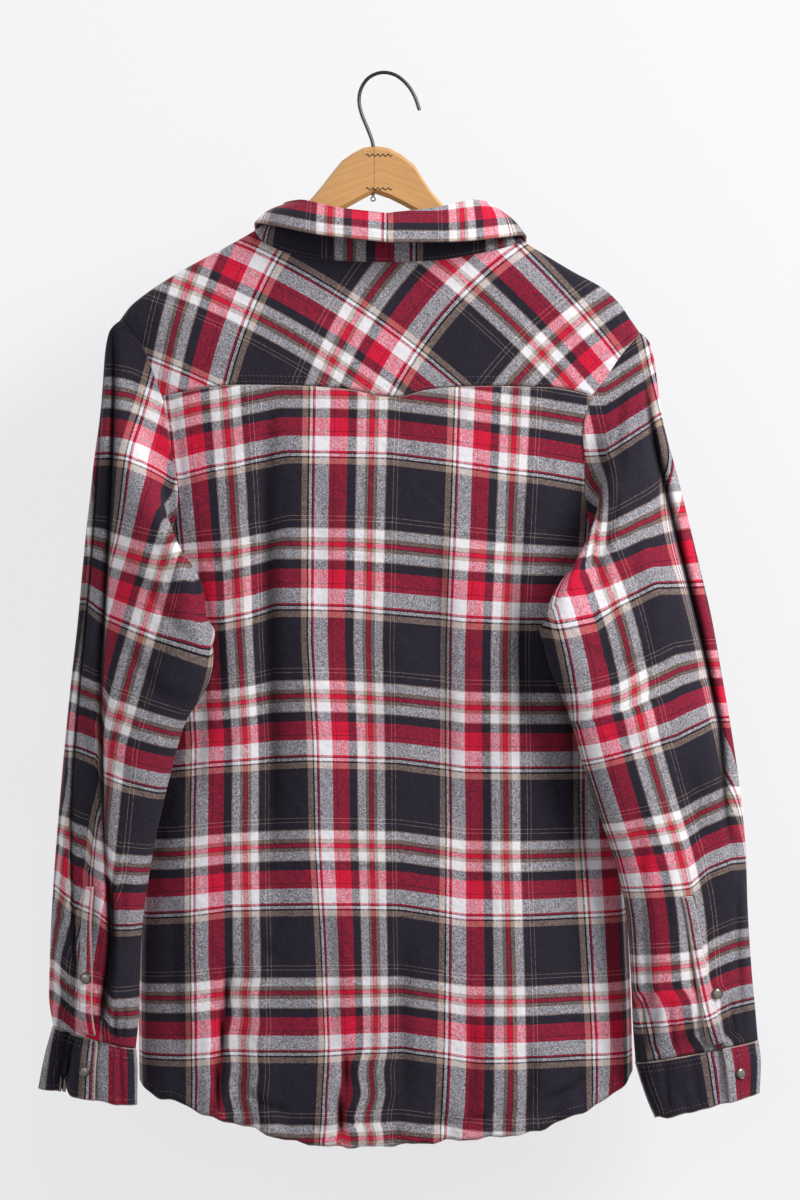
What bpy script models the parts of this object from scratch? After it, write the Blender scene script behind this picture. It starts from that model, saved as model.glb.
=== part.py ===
"""A flannel western shirt, snapped shut, hanging on a flat wooden hanger with a wire hook.

Metres, +Z up. The shirt's front faces -Y and the wearer's left is +X. The origin is the inside
top of the hook, where it rests on whatever holds it. The tables are in millimetres: a "drop" is
how far a point lies below the origin, and "across" is how far it lies along X.
"""
import math
from bisect import bisect_right
from collections import namedtuple

import bmesh
import bpy
from mathutils import Vector

MM = 0.001

# Cloth
CLOTH = 1.6            # one layer of brushed flannel
BAND = 2.4             # faced bands: collar, stand, cuffs and plackets
SEAM = 0.3             # between two pieces that are sewn together
SIDE_SEAM_STEP = 1.0   # from a back's middle surface to a front's, where the edges' corners meet
YOKE_SEAM_STEP = 0.9   # the same on the slanting seam between the yoke and a front
SECTION_POWER = 2.6    # roundness of the torso's section: 2 is an ellipse
SLEEVE_POWER = 2.3     # roundness of a sleeve's section

# Seam levels
YOKE_CORNER = 279      # drop of the yoke's back corners, at the armholes
YOKE_FRONT = 242       # drop of the yoke's front corners, at the armholes
UNDERARM = 415         # drop of the armholes' lowest point
NECK_YOKE_TURN = 108   # where the yoke's front seams meet the neck, in degrees from the back
PLACKET_HALF = 17      # half the front placket's width
MIDDLE = -7            # across position of the shirt's own middle line
FRONT_EDGE = 3         # where the two fronts meet, under the placket

# Snaps
SNAP_RADIUS = 5.0
SNAP_DEPTH = 2.2
FRONT_SNAPS = (278, 366, 454, 542, 630, 718, 806)   # drops of the snaps on the placket
SNAP_GAP = 0.4

# Hanger
WOOD_THICK = 9
WOOD_BEVEL = 3.6
WOOD_REST = 3.0        # from the shoulder's middle surface down to the wood
WOOD_SEAM = 6          # across position of the joint between the two halves
WIRE_RADIUS = 1.6
WIRE_HOLE_RADIUS = 2.0
WIRE_ACROSS = 7        # across position of the hole that the wire passes through

# The torso's outline: the shoulder slopes, then the sides. Depths are along Y.
Torso = namedtuple("Torso", "drop left right back front edge")
TORSO = (
    Torso(128, 96, -96, 18, -18, 0),
    Torso(135.5, 108, -107, 19, -19, 0),
    Torso(145, 124, -122, 21, -20, 0),
    Torso(154, 141, -136, 23, -21, 0),
    Torso(164, 160, -153, 24, -22, 0),
    Torso(176, 181, -173, 25, -23, 0),
    Torso(189, 201, -196, 26, -24, 0),
    Torso(202, 217, -208, 27, -25, 0),
    Torso(214, 226, -216, 28, -26, 0),
    Torso(224, 223, -223, 29, -27, 0),
    Torso(250, 214, -213, 31, -29, -1),
    Torso(286, 206, -204, 34, -31, -3),
    Torso(340, 199, -196, 37, -33, -6),
    Torso(415, 195, -192, 40, -34, -9),
    Torso(455, 198, -197, 42, -35, -10),
    Torso(627, 205, -207, 45, -36, -10),
    Torso(799, 210, -216, 46, -35, -10),
    Torso(925, 208, -219, 45, -33, -9),
)

# The armholes' seams on the back and on the front.
Armhole = namedtuple("Armhole", "drop left_back right_back left_front right_front")
ARMHOLE = (
    Armhole(214, 226, -223, 226, -223),
    Armhole(224, 217, -223, 216, -223),
    Armhole(233, 207, -216, 205, -214),
    Armhole(243, 202, -208, 198, -206),
    Armhole(254, 198, -199, 192, -196),
    Armhole(269, 193, -191, 186, -187),
    Armhole(286, 187, -178, 179, -177),
    Armhole(318, 184, -175, 171, -170),
    Armhole(347, 178, -177, 168, -167),
    Armhole(365, 176, -177, 170, -169),
    Armhole(384, 178, -179, 176, -175),
    Armhole(400, 184, -184, 184, -183),
    Armhole(415, 195, -192, 195, -192),
)
TIP = {1: 214, -1: 224}   # drop of the shoulder tips, by side

# Seams that run across the back and the front, and the hems.
Line = namedtuple("Line", "across drop")
BACK_YOKE = (
    Line(-184, 279), Line(-144, 272), Line(-95, 271), Line(-47, 273), Line(-10, 281),
    Line(29, 274), Line(69, 271), Line(122, 270), Line(190, 279),
)
BACK_HEM = (
    Line(-219, 862), Line(-203, 877), Line(-187, 887), Line(-155, 900), Line(-126, 910),
    Line(-61, 916), Line(28, 922), Line(82, 916), Line(116, 905), Line(142, 900),
    Line(168, 888), Line(199, 880), Line(212, 869),
)
FRONT_HEM_LIFT = 12    # how much shorter the front is at its middle

# The collar's rings, by turn in degrees from the middle of the back. "across" is the distance
# from the collar's middle, the same on both sides.
Ring = namedtuple("Ring", "turn across depth drop")
NECK_HALF = 115
NECK = (
    Line(-180, 240), Line(-150, 226), Line(-125, 192), Line(-108, 163), Line(-98, 150),
    Line(-90, 145), Line(-70, 148), Line(-45, 155), Line(-20, 162), Line(0, 163.5),
    Line(25, 162), Line(45, 157), Line(65, 148), Line(90, 135.5), Line(98, 142),
    Line(108, 158), Line(125, 190), Line(150, 226), Line(180, 240),
)
FOLD_MIDDLE = -5
FOLD = (
    Ring(0, 0, 34, 125), Ring(30, 42, 32, 120), Ring(60, 73, 20, 112), Ring(90, 84, -2, 112),
    Ring(120, 74, -24, 137), Ring(150, 44, -35, 180), Ring(172, 12, -38, 207),
    Ring(180, 3, -38, 210),
)
LEAF_MIDDLE = -8
LEAF_TILT = 5.5        # how much higher the leaf's edge is on the left than in the middle
LEAF = (
    Ring(0, 0, 56, 151), Ring(30, 58, 51, 147), Ring(60, 100, 34, 139), Ring(80, 115, 12, 135),
    Ring(90, 117, 0, 136), Ring(100, 117, -17, 143), Ring(110, 113, -29, 157),
    Ring(130, 100, -41, 202),
    Ring(150, 81, -45, 246), Ring(168, 60, -44, 275), Ring(180, 50, -42, 288),
)
LEAF_END = 178         # the leaf stops just short of the middle of the front
STAND_LAP = 187        # the stand's ends pass each other
FOLD_RADIUS = 3.2

# Folds in the torso: a trough (or, where the depth is negative, a ridge) along a line.
Fold = namedtuple("Fold", "across0 drop0 across1 drop1 depth width")
BACK_FOLDS = (
    Fold(99, 292, 93, 720, 8, 13),
    Fold(-50, 420, -58, 700, 5, 12),
    Fold(131, 765, 127, 935, 9, 10),
    Fold(16, 800, 4, 940, 6, 10),
    Fold(62, 420, 48, 930, -4, 20),
    Fold(-112, 470, -110, 930, -4, 24),
    Fold(158, 500, 170, 900, -4, 18),
    Fold(-160, 560, -172, 900, 5, 14),
    Fold(95, 178, 168, 238, 2.5, 10),
    Fold(-95, 182, -165, 246, 2.5, 10),
    Fold(55, 186, -60, 188, 2, 9),
    Fold(172, 392, 110, 470, 3, 12),
    Fold(-172, 392, -105, 470, 3, 12),
)
FRONT_FOLDS = (
    Fold(112, 300, 96, 880, 7, 15),
    Fold(-106, 330, -118, 890, 7, 15),
    Fold(60, 420, 66, 920, -4, 18),
    Fold(-58, 480, -64, 920, -4, 18),
    Fold(152, 720, 148, 900, 7, 11),
    Fold(-156, 700, -152, 900, 7, 11),
    Fold(165, 385, 92, 470, 3, 12),
    Fold(-165, 385, -92, 470, 3, 12),
)

# The sleeves: the outer and the inner edge of each section and its half depths at the back and
# the front. "belly" is what the front hangs out further beside the torso, near the outer edge.
# "along" runs from 0 at the armhole to 1 at the cuff.
Sleeve = namedtuple("Sleeve", "along out out_drop out_y inn inn_drop inn_y back front belly")
SLEEVES = {
    "left": (
        Sleeve(0.00, 226, 216, 0, 182, 370, 40, 12, 10, 26),
        Sleeve(0.08, 233, 246, 1, 170, 392, 50, 20, 12, 28),
        Sleeve(0.16, 238, 285, 3, 160, 417, 58, 25, 13, 28),
        Sleeve(0.25, 245, 325, 4, 151, 448, 64, 28, 14, 26),
        Sleeve(0.33, 249, 365, 4, 145, 475, 67, 30, 14, 22),
        Sleeve(0.42, 254, 415, 4, 143, 505, 69, 31, 15, 18),
        Sleeve(0.50, 258, 470, 4, 151, 532, 68, 31, 15, 15),
        Sleeve(0.58, 263, 530, 4, 169, 560, 65, 31, 17, 12),
        Sleeve(0.66, 268, 590, 3, 181, 600, 59, 31, 20, 9),
        Sleeve(0.76, 275, 670, 2, 197, 665, 51, 30, 22, 6),
        Sleeve(0.86, 280, 745, 3, 208, 745, 45, 28, 21, 3),
        Sleeve(0.95, 283, 800, 4, 210, 812, 39, 25, 20, 0),
        Sleeve(1.00, 281, 822, 5, 212, 838, 34, 18, 17, 0),
    ),
    "right": (
        Sleeve(0.00, -223, 226, 0, -180, 374, 40, 12, 10, 26),
        Sleeve(0.08, -230, 254, 2, -174, 398, 50, 20, 12, 28),
        Sleeve(0.16, -237, 285, 3, -160, 428, 58, 25, 13, 28),
        Sleeve(0.25, -246, 318, 4, -146, 455, 64, 28, 14, 26),
        Sleeve(0.33, -257, 360, 4, -138, 476, 67, 30, 14, 22),
        Sleeve(0.42, -269, 412, 4, -141, 503, 69, 31, 15, 18),
        Sleeve(0.50, -281, 463, 4, -152, 530, 68, 31, 15, 15),
        Sleeve(0.58, -292, 525, 4, -165, 565, 65, 31, 17, 12),
        Sleeve(0.66, -302, 585, 4, -179, 615, 59, 31, 20, 9),
        Sleeve(0.76, -311, 660, 4, -200, 672, 51, 30, 22, 6),
        Sleeve(0.86, -314, 735, 5, -213, 735, 45, 28, 21, 3),
        Sleeve(0.95, -321, 808, 6, -217, 818, 39, 24, 20, 0),
        Sleeve(1.00, -324, 834, 7, -219, 850, 34, 17, 17, 0),
    ),
}
SIDES = {"left": 1, "right": -1}
CAP_BLEND = 0.25       # how far along a sleeve its armhole's shape has gone
CAP_REACH = 20         # how far the cloth heads straight out of the armhole
BESIDE = 207           # where the front wall's inner edge stays beside the torso
BESIDE_DEPTH = -8
BESIDE_FROM = 424      # the drop at which it leaves there
BESIDE_TO = 476        # and at which it reaches the inner edge in the table
UNDERARM_TURN = 0.05   # how far past the inner edge the underarm seam lies, in half turns
BELLY_ACROSS = 0.36    # where across a sleeve its belly is deepest, and how wide the belly is
BELLY_WIDTH = 0.26

# Creases along the sleeves: "across" is 0 at the outer edge and 1 at the inner edge. A crease
# lies on the back of the sleeve or, where its side is -1, on the front.
Crease = namedtuple("Crease", "across0 along0 across1 along1 depth width side")
SLEEVE_CREASES = {
    "left": (
        Crease(0.18, 0.20, 0.20, 0.60, 9, 0.10, 1),
        Crease(0.28, 0.52, 0.74, 0.97, 9, 0.11, 1),
        Crease(0.62, 0.30, 0.70, 0.62, 4, 0.12, 1),
        Crease(0.35, 0.15, 0.45, 0.80, 7, 0.14, -1),
        Crease(0.68, 0.55, 0.60, 0.98, 6, 0.14, -1),
    ),
    "right": (
        Crease(0.13, 0.18, 0.14, 0.75, 8, 0.08, 1),
        Crease(0.66, 0.12, 0.72, 0.52, 5, 0.12, 1),
        Crease(0.46, 0.60, 0.42, 0.98, 5, 0.14, 1),
        Crease(0.40, 0.15, 0.45, 0.80, 7, 0.14, -1),
        Crease(0.70, 0.50, 0.62, 0.98, 6, 0.14, -1),
    ),
}

# The cuffs: outer and inner edge at the top and at the bottom, and half depths.
Cuff = namedtuple("Cuff", "down out out_drop out_y inn inn_drop inn_y back front")
CUFFS = {
    "left": (
        Cuff(0.0, 281, 822.7, 5, 212, 838.7, 34, 18, 17),
        Cuff(0.4, 288, 848, 5, 211, 858, 31, 21, 20),
        Cuff(1.0, 294, 876, 5, 211, 888, 29, 20, 19),
    ),
    "right": (
        Cuff(0.0, -324, 834.7, 7, -219, 850.7, 34, 17, 17),
        Cuff(0.4, -326, 853, 7, -225, 870, 30, 19, 18),
        Cuff(1.0, -325, 880, 7, -236, 900, 27, 18, 17),
    ),
}
CUFF_DENT = {"left": (0.27, 12, 0.12), "right": (0.62, 3, 0.14)}   # across, depth, width
CUFF_EDGE = {"left": 0.66, "right": 0.34}                          # across, of the upper lap
CUFF_LAP = 0.40        # how far the lower lap runs on, as a turn round the section
SLEEVE_PLACKET = {     # along at the top and at the bottom, and half its width across
    "left": (0.80, 0.99, 0.09),
    "right": (0.82, 0.99, 0.075),
}
SLEEVE_SNAP = {"left": (0.43, 0.905), "right": (0.32, 0.925)}      # across and along
CUFF_SNAP_ACROSS = {"left": 0.55, "right": 0.22}

# The hanger's halves: how far out from the middle, and the drops of the upper and lower edge.
Wood = namedtuple("Wood", "out top bottom")
WOOD = {
    "left": (
        Wood(0, 62, 103), Wood(9, 63.5, 107.5), Wood(18, 68, 112.5), Wood(28, 75, 118),
        Wood(37, 86, 123), Wood(47, 99, 128), Wood(57, 110.5, 134), Wood(74, 122, 144),
    ),
    "right": (
        Wood(0, 62, 103), Wood(13, 64, 107.5), Wood(24, 70, 113), Wood(35, 79, 119),
        Wood(41, 89, 122), Wood(49, 101, 127), Wood(61, 115, 134), Wood(80, 128, 147),
    ),
}
WOOD_REACH = {"left": 214, "right": 205}   # how far along X each arm goes
NECK_OUT = {"left": 108, "right": 122}     # where the neck seam crosses each arm
NECK_DIP = 3.0         # how much lower the arms are inside the neck
ARM_HEIGHT = 22

# The hook's wire: points along its middle, from the lower end to the tip.
Wire = namedtuple("Wire", "across drop")
HOOK = (
    Wire(7, 105), Wire(7, 88), Wire(7, 72), Wire(7.1, 61), Wire(9.4, 53), Wire(13, 44),
    Wire(17, 34), Wire(19.2, 23), Wire(17.3, 12), Wire(10.5, 2.6), Wire(-0.6, -1.7),
    Wire(-12.5, 0.6), Wire(-22.4, 8.6), Wire(-29, 19), Wire(-33.2, 31),
)
EYE_RADIUS = 1.9
EYE_WIRE = 0.6

# Colours
FLANNEL = (0.16, 0.11, 0.12)
RED = (0.45, 0.05, 0.08)
PEARL = (0.32, 0.30, 0.27)
BEECH = (0.52, 0.33, 0.17)
STEEL = (0.10, 0.10, 0.11)


# ---------------------------------------------------------------- small tools

def clear_scene():
    for item in list(bpy.data.objects):
        bpy.data.objects.remove(item, do_unlink=True)


def finish(name, colour, roughness, metallic=0.0):
    """A plain Principled material."""
    material = bpy.data.materials.new(name)
    material.use_nodes = True
    shader = material.node_tree.nodes["Principled BSDF"]
    shader.inputs["Base Color"].default_value = (*colour, 1.0)
    shader.inputs["Roughness"].default_value = roughness
    shader.inputs["Metallic"].default_value = metallic
    material.diffuse_color = (*colour, 1.0)
    return material


def read(rows, key, column, at):
    """A column of a table at a key between its rows, on a smooth curve that never overshoots."""
    keys = [getattr(row, key) for row in rows]
    values = [getattr(row, column) for row in rows]
    if at <= keys[0]:
        return values[0]
    if at >= keys[-1]:
        return values[-1]
    low = bisect_right(keys, at) - 1

    def secant(index):
        return (values[index + 1] - values[index]) / (keys[index + 1] - keys[index])

    def slope(index):
        if index == 0:
            return secant(0)
        if index == len(keys) - 1:
            return secant(index - 1)
        before, after = secant(index - 1), secant(index)
        return 0.0 if before * after <= 0 else 2 * before * after / (before + after)

    width = keys[low + 1] - keys[low]
    t = (at - keys[low]) / width
    start = (1 + 2 * t) * (1 - t) ** 2 * values[low] + t * (1 - t) ** 2 * width * slope(low)
    end = t * t * (3 - 2 * t) * values[low + 1] - t * t * (1 - t) * width * slope(low + 1)
    return start + end


def mix(a, b, t):
    return a + (b - a) * t


def smooth_step(t):
    t = min(max(t, 0.0), 1.0)
    return t * t * (3 - 2 * t)


def superellipse(cosine, power):
    """Height of a rounded section, from 1 in its middle to 0 at its edges."""
    return max(0.0, 1 - abs(cosine) ** power) ** (1 / power)


def stations(start, end, count, power=1.0):
    """Steps from start to end, both included. A power above 1 brings them closer at the start."""
    return [mix(start, end, (step / count) ** power) for step in range(count + 1)]


# ---------------------------------------------------------------- building a wall

def add_object(bm, name, material):
    mesh = bpy.data.meshes.new(name)
    bm.to_mesh(mesh)
    bm.free()
    mesh.materials.append(material)
    item = bpy.data.objects.new(name, mesh)
    bpy.context.collection.objects.link(item)
    return item


def wall(name, columns, rows, place, thickness, material, closed=False):
    """A cloth wall: a flat grid, moved to place(column, row), then given its thickness.

    place returns a point on the middle of the cloth, in millimetres. A closed wall's last column
    meets its first.
    """
    bm = bmesh.new()
    bmesh.ops.create_grid(bm, x_segments=columns, y_segments=rows, size=0.5)
    for vert in bm.verts:
        column = round((vert.co.x + 0.5) * columns)
        row = round((vert.co.y + 0.5) * rows)
        vert.co = Vector(place(column, row)) * MM
    if closed:
        bmesh.ops.remove_doubles(bm, verts=bm.verts, dist=0.01 * MM)
    bmesh.ops.triangulate(bm, faces=bm.faces)
    item = add_object(bm, name, material)
    item.data.shade_smooth()
    solidify = item.modifiers.new("cloth", "SOLIDIFY")
    solidify.thickness = thickness * MM
    solidify.offset = 0.0
    solidify.use_even_offset = False
    return item


# ---------------------------------------------------------------- the torso's surface

def fold_push(folds, across, drop):
    """How far the folds push a point of the torso inwards."""
    push = 0.0
    for fold in folds:
        run = Vector((fold.across1 - fold.across0, fold.drop1 - fold.drop0))
        reach = Vector((across - fold.across0, drop - fold.drop0))
        t = min(max(reach.dot(run) / run.length_squared, 0.0), 1.0)
        distance = (reach - run * t).length / fold.width
        fade = 1 - (2 * t - 1) ** 4
        push += fold.depth * fade * math.exp(-distance * distance)
    return push


def torso_angle(across, drop, back=True):
    """The angle of a point round the torso: 0 at the left edge, a quarter turn at mid back."""
    left, right = (read(TORSO, "drop", side, drop) for side in ("left", "right"))
    cosine = (across - (left + right) / 2) / ((left - right) / 2)
    angle = math.acos(min(max(cosine, -1.0), 1.0))
    return angle if back else -angle


def torso(angle, drop):
    """A point on the middle of the torso's cloth, by its angle and its drop."""
    left, right = (read(TORSO, "drop", side, drop) for side in ("left", "right"))
    edge = read(TORSO, "drop", "edge", drop)
    height = superellipse(math.cos(angle), SECTION_POWER)
    across = (left + right) / 2 + (left - right) / 2 * math.cos(angle)
    if math.sin(angle) >= 0:
        depth = read(TORSO, "drop", "back", drop) - fold_push(BACK_FOLDS, across, drop)
    else:
        depth = read(TORSO, "drop", "front", drop) + fold_push(FRONT_FOLDS, across, drop)
    return Vector((across, edge + (depth - edge) * height, -drop))


def armhole_point(side, drop, back):
    """Angle and drop of a point on an armhole's seam."""
    column = ("left" if side > 0 else "right") + ("_back" if back else "_front")
    edge = 0.0 if side > 0 else math.pi * (1 if back else -1)
    if drop <= TIP[side]:
        return edge, TIP[side]
    if drop >= UNDERARM:
        return edge, drop
    return torso_angle(read(ARMHOLE, "drop", column, drop), drop, back), drop


def neck_point(turn):
    """Angle and drop of a point on the neck seam, by its turn in degrees from mid back."""
    wrapped = (turn + 180) % 360 - 180
    drop = read(NECK, "across", "drop", wrapped)
    across = MIDDLE + NECK_HALF * math.sin(math.radians(turn))
    if abs(abs(wrapped) - 90) < 1e-6:
        return (0.0 if wrapped > 0 else math.pi), drop
    return torso_angle(across, drop, abs(wrapped) < 90), drop


def around(angle, left_half):
    """Front angles are below 0 on the left half and above half a turn on the right half."""
    if left_half or angle >= 0:
        return angle
    return angle + 2 * math.pi


# ---------------------------------------------------------------- shared seam stations

YOKE_ARM_FRONT = 4     # steps along each armhole, from the yoke's front seam to the tip
YOKE_ARM_BACK = 5      # from the tip to the yoke's back corner
BACK_COLUMNS = 26
BACK_ARM_ROWS = 6      # from the yoke's back corner to the underarm
BACK_BODY_ROWS = 17
FRONT_COLUMNS = 15
FRONT_ARM_ROWS = 8     # from the yoke's front seam to the underarm
FRONT_BODY_ROWS = 16
YOKE_ROWS = 6
NEAR_RIDGE = 1.6       # how much closer together the steps are at the shoulder's ridge
NEAR_UNDERARM = 1.4    # and under the arms
SIDE_SPREAD = 0.65     # and at the sides

# Turns of the neck stations: beyond the yoke on each side, then the yoke's own.
CORNER_TURN = 68
YOKE_TURNS = (
    stations(90, NECK_YOKE_TURN, YOKE_ARM_FRONT, NEAR_RIDGE)[::-1]
    + stations(90, CORNER_TURN, YOKE_ARM_BACK, NEAR_RIDGE)[1:]
    + stations(CORNER_TURN, -CORNER_TURN, BACK_COLUMNS)[1:]
    + stations(-90, -CORNER_TURN, YOKE_ARM_BACK, NEAR_RIDGE)[-2::-1]
    + stations(-90, -NECK_YOKE_TURN, YOKE_ARM_FRONT, NEAR_RIDGE)[1:]
)


def arm_front_drops(side):
    """Drops from the yoke's front seam up to the shoulder tip."""
    return stations(TIP[side], YOKE_FRONT, YOKE_ARM_FRONT, NEAR_RIDGE)[::-1]


def arm_back_drops(side):
    """Drops from the shoulder tip down to the yoke's back corner, closer together at the tip."""
    return stations(TIP[side], YOKE_CORNER, YOKE_ARM_BACK, NEAR_RIDGE)


def arm_drops(top_drop, rows):
    """Drops down an armhole to the underarm, closer together under the arm."""
    return stations(UNDERARM, top_drop, rows, NEAR_UNDERARM)[::-1]


def back_spread(u):
    """Where a column of the back lies, with narrower steps where it turns at the sides."""
    return mix(u, (1 - math.cos(math.pi * u)) / 2, SIDE_SPREAD)


def front_spread(u):
    """The same for a front, which turns at one side only."""
    return mix(u, math.sin(math.pi / 2 * u), SIDE_SPREAD)


def across_back(column, left, right):
    """Angle of a column of the back between the angles of its two ends."""
    return math.acos(mix(math.cos(left), math.cos(right), back_spread(column / BACK_COLUMNS)))


def line_drop(line, across):
    return read(line, "across", "drop", across)


def yoke_outline():
    """Angle and drop of each station along the yoke's outer edge, left front to right front."""
    points = [armhole_point(1, drop, False) for drop in arm_front_drops(1)]
    points += [armhole_point(1, drop, True) for drop in arm_back_drops(1)[1:]]
    left, right = (armhole_point(side, YOKE_CORNER, True)[0] for side in (1, -1))
    for column in range(1, BACK_COLUMNS):
        angle = across_back(column, left, right)
        points.append((angle, seam_drop(angle)))
    points += [armhole_point(-1, drop, True) for drop in reversed(arm_back_drops(-1)[1:])]
    points += [armhole_point(-1, drop, False) for drop in reversed(arm_front_drops(-1))]
    return [(around(angle, index < len(points) / 2), drop)
            for index, (angle, drop) in enumerate(points)]


def seam_drop(angle):
    """Drop of the back yoke seam at an angle round the torso."""
    across = torso(angle, YOKE_CORNER).x
    return line_drop(BACK_YOKE, across)


# ---------------------------------------------------------------- panels of the torso

TOP_FADE = 2.5
BOTTOM_FADE = 1.5


def panel(top, bottom, left, right, spread, u, v):
    """A point of a panel: cosine of its angle, and drop.

    It lies between the two sides, bent as the top and the bottom are bent near each of them.
    Each edge is a function of 0 to 1 that gives angle and drop.
    """
    def flat(point):
        return Vector((math.cos(point[0]), point[1]))

    part = spread(u)
    point = mix(flat(left(v)), flat(right(v)), part)
    for edge, weight in ((top, (1 - v) ** TOP_FADE), (bottom, v ** BOTTOM_FADE)):
        point += (flat(edge(u)) - mix(flat(edge(0)), flat(edge(1)), part)) * weight
    return math.acos(min(max(point.x, -1.0), 1.0)), point.y


def front_hem(across):
    lift = FRONT_HEM_LIFT * (1 - ((across - MIDDLE) / 215) ** 2)
    return line_drop(BACK_HEM, across) - max(lift, 0.0)


def make_yoke(material):
    outline = yoke_outline()
    columns = len(outline) - 1

    def place(column, row):
        neck = neck_point(YOKE_TURNS[column])
        neck = (around(neck[0], column < columns / 2), neck[1])
        angle, drop = mix(Vector(neck), Vector(outline[column]), row / YOKE_ROWS)
        return torso(angle, drop)

    return wall("yoke", columns, YOKE_ROWS, place, CLOTH, material)


def side_edge(side, back, top_drop, arm_rows, rows):
    """Angle and drop down one side of a panel: along the armhole, then down to the hem."""
    hem = line_drop(BACK_HEM, torso(0.0 if side > 0 else math.pi, 870).x)

    arm = arm_drops(top_drop, arm_rows)

    def edge(v):
        row = round(v * rows)
        if row <= arm_rows:
            return armhole_point(side, arm[row], back)
        drop = mix(UNDERARM, hem, (row - arm_rows) / (rows - arm_rows))
        return (0.0 if side > 0 else math.pi * (1 if back else -1)), drop

    return edge


def make_back(material):
    rows = BACK_ARM_ROWS + BACK_BODY_ROWS
    left = side_edge(1, True, YOKE_CORNER, BACK_ARM_ROWS, rows)
    right = side_edge(-1, True, YOKE_CORNER, BACK_ARM_ROWS, rows)

    def top(u):
        angle = across_back(u * BACK_COLUMNS, left(0)[0], right(0)[0])
        return angle, seam_drop(angle)

    def bottom(u):
        angle = across_back(u * BACK_COLUMNS, 0.0, math.pi)
        return angle, line_drop(BACK_HEM, torso(angle, 900).x)

    def place(column, row):
        u = column / BACK_COLUMNS
        angle, drop = panel(top, bottom, left, right, back_spread, u, row / rows)
        return torso(angle, drop + (SEAM if row == 0 else 0))

    return wall("back", BACK_COLUMNS, rows, place, CLOTH, material)


FRONT_NECK_COLUMNS = FRONT_COLUMNS - YOKE_ROWS


def front_edge(side):
    return FRONT_EDGE + side * SEAM / 2


def front_turns(side):
    """Turns of the neck stations of a front, from its edge at the middle to the yoke."""
    past = math.degrees(math.asin(side * (front_edge(side) - MIDDLE) / NECK_HALF))
    return [side * turn for turn in stations(180 - past, NECK_YOKE_TURN, FRONT_NECK_COLUMNS)]


def make_front(name, side, material):
    """A front: its top runs along the neck to the yoke, then along the yoke to the armhole."""
    rows = FRONT_ARM_ROWS + FRONT_BODY_ROWS
    outer = side_edge(side, False, YOKE_FRONT, FRONT_ARM_ROWS, rows)
    edge = front_edge(side)
    turns = front_turns(side)
    corner = neck_point(side * NECK_YOKE_TURN)
    arm = armhole_point(side, YOKE_FRONT, False)
    centre_top = neck_point(turns[0])

    def top(u):
        column = round(u * FRONT_COLUMNS)
        if column <= FRONT_NECK_COLUMNS:
            return neck_point(turns[column])
        along = (column - FRONT_NECK_COLUMNS) / YOKE_ROWS
        return tuple(mix(Vector(corner), Vector(arm), along))

    def bottom(u):
        start = math.cos(torso_angle(edge, 900, False))
        angle = -math.acos(mix(start, side, front_spread(u)))
        return angle, front_hem(torso(angle, 900).x)

    def middle(v):
        drop = mix(centre_top[1], front_hem(edge), v)
        return torso_angle(edge, drop, False), drop

    def place(column, row):
        u = column / FRONT_COLUMNS
        angle, drop = panel(top, bottom, middle, outer, front_spread, u, row / rows)
        point = torso(-angle, drop)
        if row == 0 and column >= FRONT_NECK_COLUMNS:
            point += (place(column, 1) - point).normalized() * YOKE_SEAM_STEP
        if column == FRONT_COLUMNS and row > FRONT_ARM_ROWS - 1:
            point.y -= SIDE_SEAM_STEP
        return point

    return wall(name, FRONT_COLUMNS, rows, place, CLOTH, material)


# ---------------------------------------------------------------- what lies on a surface

def surface_normal(surface, a, b, outwards, step=0.004):
    """Normal of a surface of two numbers, on the side of the given direction."""
    along_a = surface(a + step, b) - surface(a - step, b)
    along_b = surface(a, b + step) - surface(a, b - step)
    normal = along_a.cross(along_b).normalized()
    return normal if normal.dot(Vector(outwards)) >= 0 else -normal


def front_surface(across, drop):
    return torso(torso_angle(across, drop, False), drop)


PLACKET_LIFT = CLOTH / 2 + SEAM + BAND / 2 + 0.1
PLACKET_START = 1.6    # from the neck seam to the placket's top
PLACKET_COLUMNS = 3
PLACKET_ROWS = 20


def make_front_placket(material):
    def place(column, row):
        across = MIDDLE + PLACKET_HALF * mix(-1, 1, column / PLACKET_COLUMNS)
        turn = 180 - math.degrees(math.asin((across - MIDDLE) / NECK_HALF))
        start = neck_point(turn)[1] + PLACKET_START
        point = front_surface(across, mix(start, front_hem(across), row / PLACKET_ROWS))
        point.y -= PLACKET_LIFT
        return point

    return wall("front_placket", PLACKET_COLUMNS, PLACKET_ROWS, place, BAND, material)


SNAP_SIDES = 12


def make_snap(name, point, normal, material):
    """A snap's cap, seated on a point of a face and standing out along its normal."""
    bm = bmesh.new()
    bmesh.ops.create_cone(
        bm, cap_ends=True, segments=SNAP_SIDES, radius1=SNAP_RADIUS * MM,
        radius2=SNAP_RADIUS * 0.82 * MM, depth=SNAP_DEPTH * MM,
    )
    turn = normal.to_track_quat("Z", "Y").to_matrix()
    bmesh.ops.rotate(bm, verts=bm.verts, cent=(0, 0, 0), matrix=turn)
    centre = (point + normal * (SNAP_GAP + SNAP_DEPTH / 2)) * MM
    bmesh.ops.translate(bm, verts=bm.verts, vec=centre)
    return add_object(bm, name, material)


# ---------------------------------------------------------------- collar

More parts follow.
